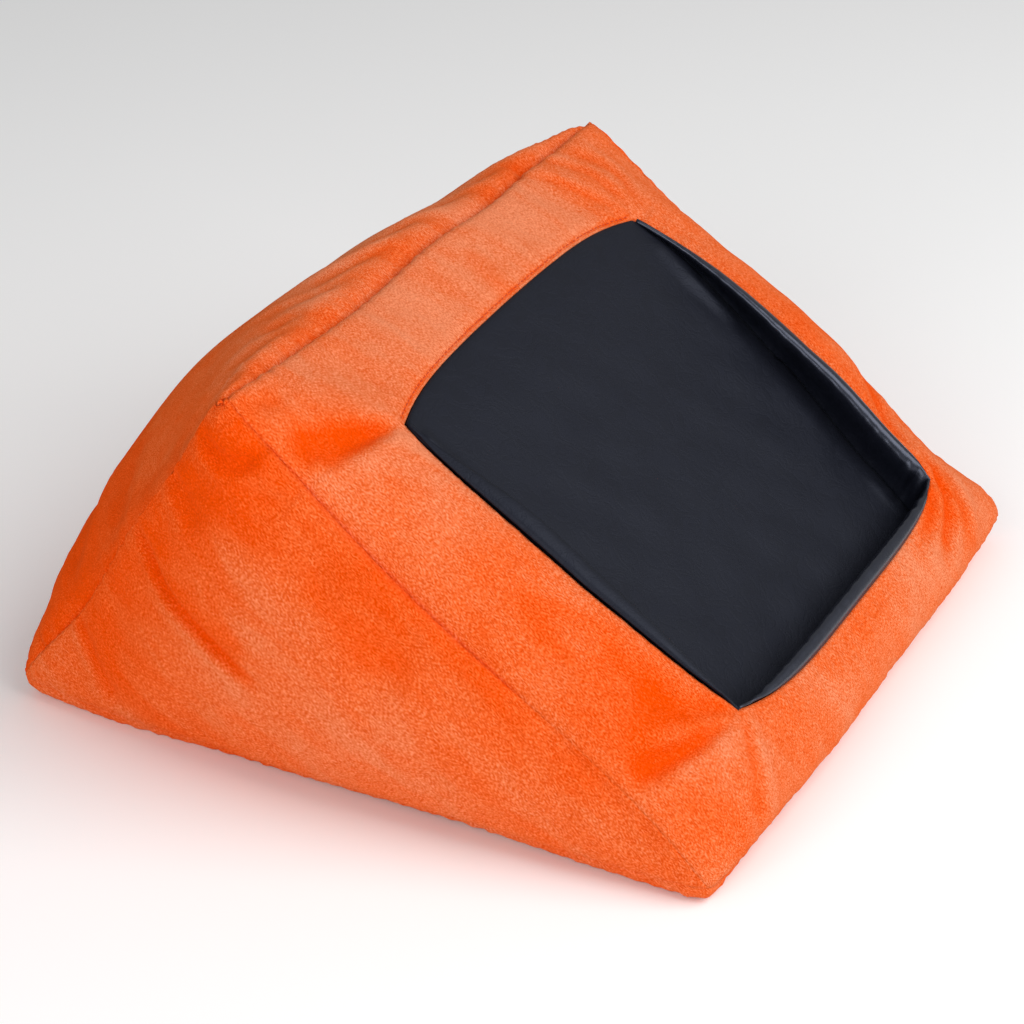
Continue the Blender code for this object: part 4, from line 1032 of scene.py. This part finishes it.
def beside_course(flat, stops):
    """Distance of flat points from a course, the side that they lie on, and the share along it."""
    line, tangents, shares = course(stops)
    offset = flat[:, None] - line[None]
    distance = span(offset)
    index = distance.argmin(axis=1)
    tangent, offset = tangents[index], offset[np.arange(len(flat)), index]
    side = np.sign(tangent[:, 0] * offset[:, 1] - tangent[:, 1] * offset[:, 0])
    return distance.min(axis=1), side, shares[index]


def ridge_folds(wedge):
    """Fine creases that run down the back from the seam along the ridge."""
    generator = np.random.default_rng(RIDGE_SEED)
    top = span(wedge.ridge - wedge.back_foot)
    folds = []
    for start in np.linspace(*RIDGE_FOLD_RUN, RIDGE_FOLDS):
        start += generator.uniform(*RIDGE_SHIFTS)
        reach, fall = generator.uniform(*RIDGE_REACHES), generator.uniform(*RIDGE_FALLS)
        middle = start - RIDGE_MIDDLE_REACH * reach, top - RIDGE_MIDDLE_FALL * fall
        stops = ((start, top - RIDGE_START), middle, (start - reach, top - fall))
        depth = generator.uniform(*RIDGE_DEPTHS)
        folds.append((stops, depth, RIDGE_WIDTHS, depth))
    return tuple(folds)


def fold(points, normals, name, wedge, from_seam):
    """Presses the folds of a panel into it. Also gives the painted sheen and painted shade at each point,
    from -1, darker, to 1, paler.
    """
    # Each panel starts from its painted sheen or painted shade
    flat, nap = points[:, 1:], np.full(len(points), PANEL_SHEEN_SHADE.get(name, 0.0))
    if name.startswith(("front", "back")):
        foot = wedge.front_foot if name == "front" else wedge.back_foot
        flat = np.stack((points[:, 0], (points - foot) @ unit(wedge.ridge - foot)), axis=1)
    # The back painted paler towards its ridge
    if name.startswith("back"):
        nap += BACK_SHEEN_RISE * smooth_step(points[:, 2] / wedge.ridge[2])
    folds = metres(FOLDS.get(name, ()))
    if name == "back_upper":
        folds += ridge_folds(wedge)
    move = np.zeros(len(points))
    for stops, depth, widths, crest in folds:
        near, side, share = beside_course(flat, stops)
        width = mix(*widths, share)
        near, side = near / width, side * near / width
        taper = smooth_step(share / FOLD_TAPER_SHARE + FOLD_START)
        taper = taper * smooth_step((1 - share) / FOLD_TAPER_SHARE + FOLD_END)
        valley = bell(near, 1.0) * taper
        ridge = bell(side - CREST_PLACE, 1.0) * taper * np.exp(-((near / CREST_FADE) ** 4))
        lee = bell(side + LEE_PLACE, LEE_PLACE) * taper * np.exp(-((near / LEE_FADE) ** 4))
        move += crest * ridge - depth * valley
        # Painted highlight on the crest; painted shade in the valley and in the lee
        nap += CREST_HIGHLIGHT * crest * ridge - VALLEY_SHADE * depth * valley
        nap -= LEE_SHADE * lee * min(1, depth / LEE_FULL_DEPTH)
    # Patches of painted sheen and painted shade
    for middle, reach, turned in SHEEN_SHADE_PATCHES:
        nap += turned * bell(span(points - metres(middle)), metres(reach))
    move *= smooth_step(from_seam / FOLD_CLEARANCE)
    return points + normals * move[:, None], np.clip(nap, -1, 1)


# Rest


class CUSHION_OT_rest(bpy.types.Operator):
    """Lines the sunken rest with leatherette"""

    bl_idname = "cushion.rest"
    bl_label = "Leatherette rest"

    def execute(self, context):
        wedge, sizes = Wedge(), look().cushion
        self.wedge, self.groove = wedge, sizes.groove
        self.seams = Seams(Panels(wedge, sizes.cell), wedge)
        self.matt = leatherette_finish("leatherette_floor", roughness=0.55, gloss=0.28, depth=0.4)
        self.gloss = leatherette_finish("leatherette_wall", roughness=0.32, gloss=0.8, depth=0.12)
        length = span(wedge.rest(0.0, 1.0) - wedge.rest(0.0, 0.0))
        run = graded(round(length / sizes.cell))
        side = np.linspace(-1, 1, round(wedge.held[0] / sizes.cell) + 1)
        self.floor(side, run)
        steps = np.concatenate(((-1.0,), graded(WALL_ROWS)))
        gathered = swell(steps, 1.0, 1.0)[:, None]
        crest = WALL_CREST * bell(steps - WALL_CREST_STEP, WALL_CREST_WIDTH)[:, None]
        run = run[:-1]
        fade = smooth_step((1 - run) / WALL_FADE_SHARE)
        bulge = SIDE_WALL_BULGE * (1 - np.abs(2 * run - 1) ** CORNER_SHARE) * fade
        for name, way in (("left", -1.0), ("right", 1.0)):
            rows, inwards = np.full((1, len(run)), way), -X_AXIS * way
            wall = wedge.wall(rows, run[None], steps[:, None], inwards, bulge[None])
            gathers = wrinkle(run * length, (0.0, length), WALL_SEEDS[name]) * fade
            wall += inwards * (gathers * gathered)[..., None]
            wall += (wedge.rest_normal + inwards) * (crest * swell(run, 0.5, 0.5))[..., None]
            self.wall(name, wall, way > 0)
        bulge = FOOT_WALL_BULGE * (1 - np.abs(side) ** CORNER_SHARE)
        inner = side * (1 - 2 * LEATHER_THICKNESS / wedge.window_width)
        wall = wedge.wall(inner[None], np.zeros((1, len(side))), steps[:, None], wedge.rest_up, bulge[None])
        half = wedge.window_width / 2
        gathers = wrinkle(inner * half, (-half, half), WALL_SEEDS["foot"])
        self.wall("foot", wall + wedge.rest_up * (gathers * gathered)[..., None], True)
        return {"FINISHED"}

    def sewn(self, points):
        flat = points.reshape(-1, 3)
        moved = sew(flat, np.zeros_like(flat), self.seams, self.groove, 0)
        return self.wedge.shaped(moved).reshape(points.shape)

    def floor(self, side, run):
        wedge = self.wedge
        floor = wedge.rest(side[None, :], run[:, None])
        up = (floor - wedge.rest_centre) @ wedge.rest_up
        flat = np.stack((floor[..., 0], up), axis=-1).reshape(-1, 2)
        rise = FLOOR_RIPPLE * ripple(flat, FLOOR_RIPPLE_LENGTH, FLOOR_SEED)
        for stops, height, width in metres(FLOOR_ROLLS):
            near, _, share = beside_course(flat, stops)
            rise += height * bell(near, width) * smooth_step((1 - share) / ROLL_TAPER_SHARE)
        inside = smooth_step((1 - np.abs(flat[:, 0]) * 2 / wedge.held[0]) / FLOOR_SIDE_FADE)
        inside = inside * smooth_step((1 - flat[:, 1] * 2 / wedge.held[1]) / FLOOR_HEAD_FADE)
        rise = (rise * np.minimum(1, inside + FLOOR_EDGE_SHARE)).reshape(floor.shape[:2])
        floor = self.sewn(floor + wedge.rest_normal * rise[..., None])
        turns = np.zeros_like(floor)
        for border in BORDERS:
            turns[border] = -wedge.rest_normal * SEAM_TURN
        faces = grid_faces(*floor.shape[:2])
        made = turned_sheet("leatherette_floor", floor, faces, turns, LEATHER_THICKNESS)
        dress(made, "rest_floor", self.matt)

    def wall(self, name, points, flipped):
        points = self.sewn(points)
        faces = grid_faces(*points.shape[:2], flipped)
        turns = np.zeros_like(points)
        made = turned_sheet("leatherette_wall_" + name, points, faces, turns, LEATHER_THICKNESS)
        made.modifiers["thickness"].offset = 1
        dress(made, "rest_wall_" + name, self.matt if name == "left" else self.gloss)


def wrinkle(places, ends, seed):
    """Gathers of a wall along its length, deeper towards its two ends."""
    near = np.minimum(np.abs(places - ends[0]), np.abs(places - ends[1]))
    depth = WALL_RIPPLE + WALL_GATHER * np.exp(-near / WALL_GATHER_REACH)
    return depth * ripple(places, WALL_GATHER_LENGTH, seed)


# Filling: bag, beads and foam slab


def copy_node(node, name):
    """A welded copy of a CAD node's mesh."""
    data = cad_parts[node].data.copy()
    data.name = name
    data.materials.clear()
    with edited(data) as work:
        bmesh.ops.remove_doubles(work, verts=work.verts, dist=WELD)
        for face in work.faces:
            face.smooth = True
    data.set_sharp_from_angle(angle=SHARP_ANGLE)
    return new_object(name, data)


class CUSHION_OT_filling(bpy.types.Operator):
    """Sews the calico bag, fills it with beads and lays the foam slab under the rest"""

    bl_idname = "cushion.filling"
    bl_label = "Bag, beads and foam"

    def execute(self, context):
        calico = woven_finish("calico_weave", look().finish.calico, threads=1700.0, roughness=0.9)
        for part in ("front", "back", "base", "end_left", "end_right"):
            made = self.plumped("bag_" + part, "calico_" + part, 2)
            self.crumple(made, CALICO_CRUMPLE, CALICO_CRUMPLE_LENGTH)
            dress(made, "bag_" + part, calico)
        made = self.plumped("bead_fill", "bead_filling", 2)
        self.crumple(made, BEAD_CRUMPLE, BEAD_CRUMPLE_LENGTH)
        dress(made, "bead_fill", bead_finish())
        made = self.plumped("rest_pad", "foam_slab", 1)
        dress(made, "rest_pad", foam_finish())
        return {"FINISHED"}

    def plumped(self, node, name, levels):
        """A node's copy, rounded off with even subdivision."""
        made = copy_node(node, name)
        finer = made.modifiers.new("finer", "SUBSURF")
        finer.levels = finer.render_levels = levels
        return bake(made)

    def crumple(self, made, depth, length):
        """Lays shallow hollows over a piece, in the filling's uneven shape."""
        points = places_of(made.data.vertices)
        normals = np.array([vert.normal for vert in made.data.vertices])
        hollows = (ripple(points, length, CRUMPLE_SEED) - 1) / 2
        points = Wedge().shaped(points) + normals * (depth * hollows)[:, None]
        made.data.vertices.foreach_set("co", points.ravel().astype(np.float32))
        made.data.update()


# Zip


class CUSHION_OT_zip(bpy.types.Operator):
    """Weaves the zip's tapes and finishes its teeth, stops, slider and pull"""

    bl_idname = "cushion.zip"
    bl_label = "Zip"

    def execute(self, context):
        finish = look().finish
        woven = woven_finish("zip_weave", finish.zip_cloth, threads=2400.0, roughness=0.85)
        for part in ("upper", "lower"):
            made = copy_node("zip_tape_" + part, "woven_tape_" + part)
            self.close_ends(made.data)
            dress(made, "zip_tape_" + part, woven)
        teeth = plain_finish("zip_nylon", finish.zip_teeth, roughness=0.35, metallic=0.0)
        metal = plain_finish("zip_plating", finish.metal, roughness=0.28, metallic=1.0)
        for node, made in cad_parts.items():
            if node.startswith("zip_teeth"):
                self.paint(made, teeth)
            elif node.startswith("zip_") and "tape" not in node:
                self.paint(made, metal)
        return {"FINISHED"}

    def close_ends(self, data):
        """Brings a tape's inner edge to the zip's middle past its stops."""
        wedge = Wedge()
        middle, above = wedge.back(0.0, ZIP_SHARE), wedge.back(0.0, ZIP_SHARE * (1 + ZIP_SHARE))
        up = Vector(above - middle).normalized()
        tail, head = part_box("zip_stop_upper")[0].x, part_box("zip_stop_bottom")[1].x
        starts = (tail - TAPE_CLOSE / 2, head + TAPE_CLOSE / 2)
        with edited(data) as work:
            for start, way in zip(starts, (-1, 1)):
                for place in (start, start + way * TAPE_CLOSE):
                    geom = work.verts[:] + work.edges[:] + work.faces[:]
                    bmesh.ops.bisect_plane(work, geom=geom, plane_co=(place, 0, 0), plane_no=(1, 0, 0))
            aside = [(vert.co - Vector(middle)).dot(up) for vert in work.verts]
            inner = min(abs(part) for part in aside)
            for vert, part in zip(work.verts, aside):
                past = vert.co.x < starts[0] - TAPE_CLOSE / 2 or vert.co.x > starts[1] + TAPE_CLOSE / 2
                if past and abs(part) < inner + TAPE_CLOSE / 2:
                    vert.co -= up * (part - math.copysign(GAP / 2, part))

    def paint(self, made, finish):
        if not made.material_slots:
            made.data.materials.append(finish)
        for slot in made.material_slots:
            slot.material = finish


# Stitches


def stitch_tree():
    """Lays one stitch after another along an edge of thread."""
    tree = bpy.data.node_groups.new("stitch_row", "GeometryNodeTree")
    tree.is_modifier = True
    kinds = {"Geometry": "Geometry", "Finish": "Material"}
    for name in ("Geometry", "Stitch", "Gap", "Thread", "Finish"):
        kind = "NodeSocket" + kinds.get(name, "Float")
        tree.interface.new_socket(name, in_out="INPUT", socket_type=kind)
    tree.interface.new_socket("Geometry", in_out="OUTPUT", socket_type="NodeSocketGeometry")
    given = tree.nodes.new("NodeGroupInput").outputs
    line = add_node(tree, "GeometryNodeMeshToCurve", {"Mesh": given["Geometry"]})
    pace = maths(tree, "ADD", given["Stitch"], given["Gap"])
    places = add_node(tree, "GeometryNodeResampleCurve", {"Curve": line, "Length": pace}, mode="LENGTH")
    half, slim = (maths(tree, "MULTIPLY", given[name], 0.5) for name in ("Stitch", "Thread"))
    size = add_node(tree, "ShaderNodeCombineXYZ", {"X": half, "Y": slim, "Z": slim})
    bead = add_node(tree, "GeometryNodeMeshUVSphere", {"Segments": 8, "Rings": 6, "Radius": 1.0})
    shape = add_node(tree, "GeometryNodeTransform", {"Geometry": bead, "Scale": size})
    way = add_node(tree, "GeometryNodeInputTangent")
    turn = add_node(tree, "FunctionNodeAlignRotationToVector", {"Vector": way}, axis="X")
    settings = {"Points": places, "Instance": shape, "Rotation": turn}
    row = add_node(tree, "GeometryNodeInstanceOnPoints", settings)
    solid = add_node(tree, "GeometryNodeRealizeInstances", {"Geometry": row})
    smooth = add_node(tree, "GeometryNodeSetShadeSmooth", {"Geometry": solid})
    painted = add_node(tree, "GeometryNodeSetMaterial", {"Geometry": smooth, "Material": given["Finish"]})
    feed(tree, tree.nodes.new("NodeGroupOutput"), {"Geometry": painted})
    return tree


class CUSHION_OT_stitches(bpy.types.Operator):
    """Topstitches the window's head and both edges of the zip"""

    bl_idname = "cushion.stitches"
    bl_label = "Topstitching"

    def execute(self, context):
        self.wedge, self.tree = Wedge(), shared(stitch_tree, "stitch_row")
        self.thread = woven_finish("thread_twist", look().finish.thread, threads=5000.0, roughness=0.6)
        for panel, line in topstitch_lines(self.wedge).items():
            name = "stitches_" + panel.replace("front", "head").replace("back", "zip")
            self.row(name, line, bpy.data.objects["plush_" + panel].data)
        return {"FINISHED"}

    def row(self, name, points, under):
        """One row of stitches laid on the surface under it."""
        stitch = look().stitch
        faces = [tuple(face.vertices) for face in under.polygons]
        tree = BVHTree.FromPolygons([vert.co for vert in under.vertices], faces)
        out = Vector(self.wedge.front_normal if "head" in name else self.wedge.back_normal)
        starts = [Vector(point) + out * STITCH_SEARCH for point in self.wedge.shaped(points)]
        found = [tree.ray_cast(start, -out)[0] for start in starts]
        points = [place + out * stitch.thread / 4 for place in found if place]
        data = bpy.data.meshes.new(name)
        data.from_pydata([tuple(p) for p in points], [(i, i + 1) for i in range(len(points) - 1)], [])
        made = new_object(name, data)
        step = made.modifiers.new("stitches", "NODES")
        step.node_group = self.tree
        values = {"Stitch": stitch.length, "Gap": stitch.gap, "Thread": stitch.thread}
        values["Finish"] = self.thread
        for item in self.tree.interface.items_tree:
            if item.in_out == "INPUT" and item.name in values:
                step[item.identifier] = values[item.name]
        bake(made)
        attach(made, "cushion")


def topstitch_lines(wedge):
    """Courses of the topstitching by panel, before the filling's uneven shape is added."""
    side = np.linspace(-TOPSTITCH_REACH, TOPSTITCH_REACH, LINE_POINTS)
    inset = HEAD_STITCH_INSET / span(wedge.ridge - wedge.front_foot)
    across = side * wedge.window_half(side, 1.0) / wedge.half_base
    lines = {"front": wedge.front(across, wedge.window_share(side, 1.0) + inset)}
    across = side * wedge.slot_half / wedge.half_at_zip
    opening = wedge.slot_opening() * (1 + ZIP_STITCH_INSET / (SLOT_WIDTH / 2))
    for name, way in (("back_upper", 1), ("back_lower", -1)):
        lines[name] = wedge.back(across, ZIP_SHARE + way * opening)
    return lines


def topstitch_dip(wedge, name, points):
    """1 along the panel's topstitching, falling to 0 beside it."""
    line = topstitch_lines(wedge).get(name)
    if line is None:
        return np.zeros(len(points))
    tree = tree_of(line)
    return bell(np.array([tree.find(point)[2] for point in points]), STITCH_DIP_WIDTH)


# Materials


def feed(tree, node, inputs):
    """Links the inputs of a node to sockets, or sets their values."""
    for key, value in inputs.items():
        if isinstance(value, bpy.types.NodeSocket):
            tree.links.new(value, node.inputs[key])
        else:
            node.inputs[key].default_value = value


def add_node(tree, kind, inputs=None, give=0, **settings):
    """Adds a node with its settings and inputs, and gives one of its outputs."""
    made = tree.nodes.new(kind)
    for key, value in settings.items():
        setattr(made, key, value)
    feed(tree, made, inputs or {})
    return made.outputs[give]


def maths(tree, operation, *values):
    return add_node(tree, "ShaderNodeMath", dict(enumerate(values)), operation=operation)


def ranged(tree, value, start, end, low=0.0, high=1.0):
    """Maps a value that runs from low to high, so that it runs from start to end."""
    settings = {"Value": value, "From Min": low, "From Max": high, "To Min": start, "To Max": end}
    return add_node(tree, "ShaderNodeMapRange", settings)


def noise(tree, where, scale, detail, distortion=0.0):
    settings = {"Vector": where, "Scale": scale, "Detail": detail, "Distortion": distortion}
    return add_node(tree, "ShaderNodeTexNoise", settings)


def bump(tree, height, strength, distance, invert=False):
    settings = {"Height": height, "Strength": strength, "Distance": distance}
    return add_node(tree, "ShaderNodeBump", settings, invert=invert)


def shades(tint, *factors):
    """Opaque colours: the tint darkened or lightened by each factor."""
    return [(*(min(1.0, factor * part) for part in tint), 1) for factor in factors]


def toned(tree, share, first, second):
    """Mixes two opaque colours by a share."""
    settings = {"Factor": share, "A": first, "B": second}
    return add_node(tree, "ShaderNodeMix", settings, "Result", data_type="RGBA")


def new_finish(name):
    """A new material, its tree, and the places on the piece that wears it."""
    made = bpy.data.materials.new(name)
    made.use_nodes = True
    return made, made.node_tree, add_node(made.node_tree, "ShaderNodeTexCoord", give="Object")


def coated(made, tint, normal, roughness, more=()):
    """Connects a material's look to the sockets of its shader."""
    inputs = {"Base Color": tint, "Roughness": roughness, "Normal": normal, **dict(more)}
    feed(made.node_tree, made.node_tree.nodes["Principled BSDF"], inputs)
    return made


def group(name, inputs, outputs):
    """A new shader group with named inputs and outputs, its given sockets and its result node."""
    made = bpy.data.node_groups.new(name, "ShaderNodeTree")
    made.interface.new_socket("Vector", in_out="INPUT", socket_type="NodeSocketVector")
    for label, value in inputs.items():
        socket = made.interface.new_socket(label, in_out="INPUT", socket_type="NodeSocketFloat")
        socket.default_value = value
    for label in outputs:
        made.interface.new_socket(label, in_out="OUTPUT", socket_type="NodeSocketFloat")
    return made, made.nodes.new("NodeGroupInput").outputs, made.nodes.new("NodeGroupOutput")


def shared(make, name):
    """The node group of that name, made the first time that it is asked for."""
    return bpy.data.node_groups.get(name) or make()


def pile_group():
    """Short pile that lies down the slope: Tone runs from 0, deep, to 1, pale, with the painted sheen and
    painted shade of its second input added in, and Height is its grain.
    """
    sockets = {"Turned": 0.0, "Patches": 13.0, "Strokes": 60.0, "Pile": 2300.0}
    made, given, result = group("pile", sockets, ("Tone", "Height"))
    slope = {"Vector": given["Vector"], "Rotation": (PILE_SLANT, 0, 0), "Scale": (1, PILE_STRETCH, 1)}
    lain = add_node(made, "ShaderNodeMapping", slope, vector_type="TEXTURE")
    patches = noise(made, lain, given["Patches"], detail=3.0, distortion=0.5)
    strokes = noise(made, lain, given["Strokes"], detail=2.0, distortion=0.8)
    grain = noise(made, lain, given["Pile"], detail=0.5)
    tone = PILE_TONE
    for source, low, high, reach in (
        (patches, 0.34, 0.66, 0.16),
        (strokes, 0.3, 0.7, 0.13),
        (grain, 0.3, 0.7, 0.32),
        # painted sheen and painted shade stored on the plush's points
        (given["Turned"], -1.0, 1.0, 0.5),
    ):
        tone = maths(made, "ADD", ranged(made, source, -reach, reach, low, high), tone)
    feed(made, result, {"Tone": add_node(made, "ShaderNodeClamp", {"Value": tone}), "Height": grain})
    return made


def plush_finish():
    finish = look().finish
    made, tree, where = new_finish("plush_pile")
    # Painted sheen and painted shade, stored on the plush's points, lighten or darken its colour
    turned = add_node(tree, "ShaderNodeAttribute", give="Fac", attribute_name="nap")
    settings = {"Vector": where, "Turned": turned}
    pile = add_node(tree, "ShaderNodeGroup", settings, node_tree=pile_group()).node.outputs
    ramp = add_node(tree, "ShaderNodeValToRGB", {"Fac": pile["Tone"]})
    stops = ramp.node.color_ramp.elements
    stops[0].color = (*finish.plush_deep, 1)
    stops[1].color = (*finish.plush_light, 1)
    stops.new(0.5).color = (*finish.plush_colour, 1)
    # Painted shade in the gaps between fibres: darker where the grain is low, paler where it is high
    shade = ranged(tree, pile["Height"], 0.83, 1.12, low=0.3, high=0.7)
    shaded = add_node(tree, "ShaderNodeVectorMath", {0: ramp, "Scale": shade}, operation="SCALE")
    sheen = {"Specular IOR Level": 0.0, "Sheen Weight": 0.16, "Sheen Roughness": 0.45}
    sheen["Sheen Tint"] = (*finish.plush_sheen, 1)
    relief = bump(tree, pile["Height"], strength=0.5, distance=0.0012)
    return coated(made, shaded, relief, 0.95, sheen)


def grain_group():
    """Pebbled grain of coated cloth, with fine creases over it."""
    made, given, result = group("grain", {"Pebbles": 1100.0, "Creases": 90.0}, ("Height", "Wear"))
    settings = {"Vector": given["Vector"], "Scale": given["Pebbles"]}
    pebbles = add_node(made, "ShaderNodeTexVoronoi", settings, feature="SMOOTH_F1")
    creases = noise(made, given["Vector"], given["Creases"], detail=5.0, distortion=1.2)
    ridged = maths(made, "ABSOLUTE", maths(made, "SUBTRACT", creases, 0.5))
    height = maths(made, "MULTIPLY_ADD", pebbles, -0.5, ranged(made, ridged, 0.0, 0.6, high=0.06))
    feed(made, result, {"Height": height, "Wear": creases})
    return made


def leatherette_finish(name, roughness, gloss, depth):
    made, tree, where = new_finish(name)
    grain = add_node(tree, "ShaderNodeGroup", {"Vector": where}, node_tree=shared(grain_group, "grain"))
    grain = grain.node.outputs
    rough = ranged(tree, grain["Wear"], roughness - 0.1, roughness + 0.12)
    tint = toned(tree, grain["Wear"], *shades(look().finish.leatherette, 1.0, 1.9))
    shine = {"Specular IOR Level": gloss, "Specular Tint": (*LEATHER_GLEAM, 1)}
    return coated(made, tint, bump(tree, grain["Height"], depth, distance=0.0003), rough, shine)


def woven_finish(name, tint, threads, roughness):
    """Plain weave: two sets of threads that cross over and under."""
    made, tree, where = new_finish(name)
    sets = []
    for turn in (math.pi / 4, math.pi * 3 / 4):
        turned = add_node(tree, "ShaderNodeMapping", {"Vector": where, "Rotation": (0.6, 0.0, turn)})
        settings = {"Vector": turned, "Scale": threads / 6, "Distortion": 0.4}
        sets.append(add_node(tree, "ShaderNodeTexWave", settings, "Fac"))
    tone = toned(tree, noise(tree, where, threads / 12, detail=3.0), *shades(tint, 0.72, 1.12))
    relief = bump(tree, maths(tree, "MAXIMUM", *sets), strength=0.5, distance=0.0002)
    return coated(made, tone, relief, roughness)


def bead_finish():
    """Foam beads lying close together, with painted shade in the gaps between them."""
    made, tree, where = new_finish("foam_beads")
    cells = add_node(tree, "ShaderNodeTexVoronoi", {"Vector": where, "Scale": 260.0})
    ball = maths(tree, "POWER", cells, 2.0)
    # The grey is painted shade in the gaps between the beads
    colours = (0.35, 0.35, 0.35, 1), (*look().finish.beads, 1)
    tone = toned(tree, ranged(tree, ball, 1.0, 0.4, high=0.5), *colours)
    return coated(made, tone, bump(tree, ball, strength=1.0, distance=0.003, invert=True), 0.7)


def foam_finish():
    """Open cells of cut foam, with painted shade in their hollows."""
    made, tree, where = new_finish("foam_cells")
    settings = {"Vector": where, "Scale": 1500.0}
    cells = add_node(tree, "ShaderNodeTexVoronoi", settings, feature="DISTANCE_TO_EDGE")
    # Painted shade: darker towards each cell's hollow middle, down to half as bright
    tone = toned(tree, cells, *shades(look().finish.foam, 1.0, 0.5))
    return coated(made, tone, bump(tree, cells, strength=0.8, distance=0.0005, invert=True), 0.95)


def plain_finish(name, tint, roughness, metallic):
    """Moulded or plated surface with handling marks."""
    made, tree, where = new_finish(name)
    wear = noise(tree, where, 900.0, detail=4.0)
    rough = ranged(tree, wear, roughness - 0.12, roughness + 0.2)
    tone = toned(tree, wear, *shades(tint, 0.85, 1.1))
    relief = bump(tree, wear, strength=0.15, distance=0.0001)
    return coated(made, tone, relief, rough, {"Metallic": metallic})


# Stage


class CUSHION_OT_stage(bpy.types.Operator):
    """Sets the camera, the floor and soft studio light"""

    bl_idname = "cushion.stage"
    bl_label = "Stage"

    def execute(self, context):
        self.camera()
        self.floor()
        self.light()
        return {"FINISHED"}

    def camera(self):
        setting = look().stage
        turn, tilt = setting.azimuth, setting.elevation
        ahead = Vector((-math.sin(turn) * math.cos(tilt), math.cos(turn) * math.cos(tilt), -math.sin(tilt)))
        right = Vector((math.cos(turn), math.sin(turn), 0))
        down = ahead.cross(right)
        rolled = right * math.cos(setting.roll) + down * math.sin(setting.roll)
        below = down * math.cos(setting.roll) - right * math.sin(setting.roll)
        camera = bpy.data.cameras.new("camera")
        camera.sensor_width = SENSOR_WIDTH
        camera.lens = SENSOR_WIDTH * setting.focal_pixels / IMAGE_SIZE
        made = new_object("camera", camera)
        facing = Matrix((rolled, -below, -ahead)).transposed().to_4x4()
        made.matrix_world = Matrix.Translation(setting.place) @ facing
        bpy.context.scene.camera = made

    def floor(self):
        reach = (-FLOOR_REACH, FLOOR_REACH)
        corners = np.array([(x, y, 0.0) for y in reach for x in reach])
        made = new_object("floor", mesh_from("floor", corners, grid_faces(2, 2)))
        paint = bpy.data.materials.new("floor_paint")
        paint.use_nodes = True
        settings = {"Base Color": FLOOR_WHITE, "Roughness": 0.9, "Specular IOR Level": 0.0}
        feed(paint.node_tree, paint.node_tree.nodes["Principled BSDF"], settings)
        made.data.materials.append(paint)

    def light(self):
        scene = bpy.context.scene
        scene.world = bpy.data.worlds.new("studio")
        scene.world.use_nodes = True
        tree = scene.world.node_tree
        feed(tree, tree.nodes["Background"], {"Color": (1, 1, 1, 1), "Strength": WORLD_LIGHT})
        for name, place, size, power in LAMPS:
            lamp = bpy.data.lights.new(name, "AREA")
            lamp.shape = "SQUARE"
            lamp.size = size
            lamp.energy = power
            made = new_object(name, lamp)
            made.location = place
            towards = Vector(LIT_PLACE) - Vector(place)
            made.rotation_euler = towards.to_track_quat("-Z", "Y").to_euler()
        scene.view_settings.view_transform = "Standard"


class CUSHION_PT_panel(bpy.types.Panel):
    """Lists the cushion's sizes and the steps that make it"""

    bl_idname = "CUSHION_PT_panel"
    bl_label = "Tablet cushion stand"
    bl_space_type = "VIEW_3D"
    bl_region_type = "UI"
    bl_category = "Cushion"

    def draw(self, context):
        groups = context.scene.cushion_look
        for settings in (groups.cushion, groups.rest, groups.stitch, groups.finish, groups.stage):
            box = self.layout.box()
            for key in settings.bl_rna.properties.keys():
                if key not in ("rna_type", "name"):
                    box.prop(settings, key)
        for operator in OPERATORS:
            self.layout.operator(operator.bl_idname)


OPERATORS = (
    CUSHION_OT_cover,
    CUSHION_OT_rest,
    CUSHION_OT_filling,
    CUSHION_OT_zip,
    CUSHION_OT_stitches,
    CUSHION_OT_stage,
)
SETTINGS = (CushionSizes, RestSizes, StitchSizes, Finishes, StageSetting, CushionLook)
CLASSES = (*SETTINGS, *OPERATORS, CUSHION_PT_panel)


def register():
    for made in CLASSES:
        bpy.utils.register_class(made)
    bpy.types.Scene.cushion_look = PointerProperty(type=CushionLook)


def unregister():
    del bpy.types.Scene.cushion_look
    for made in reversed(CLASSES):
        bpy.utils.unregister_class(made)


def main():
    register()
    bpy.ops.cushion.cover()
    bpy.ops.cushion.rest()
    bpy.ops.cushion.filling()
    bpy.ops.cushion.zip()
    bpy.ops.cushion.stitches()
    bpy.ops.cushion.stage()


if __name__ == "__main__":
    main()
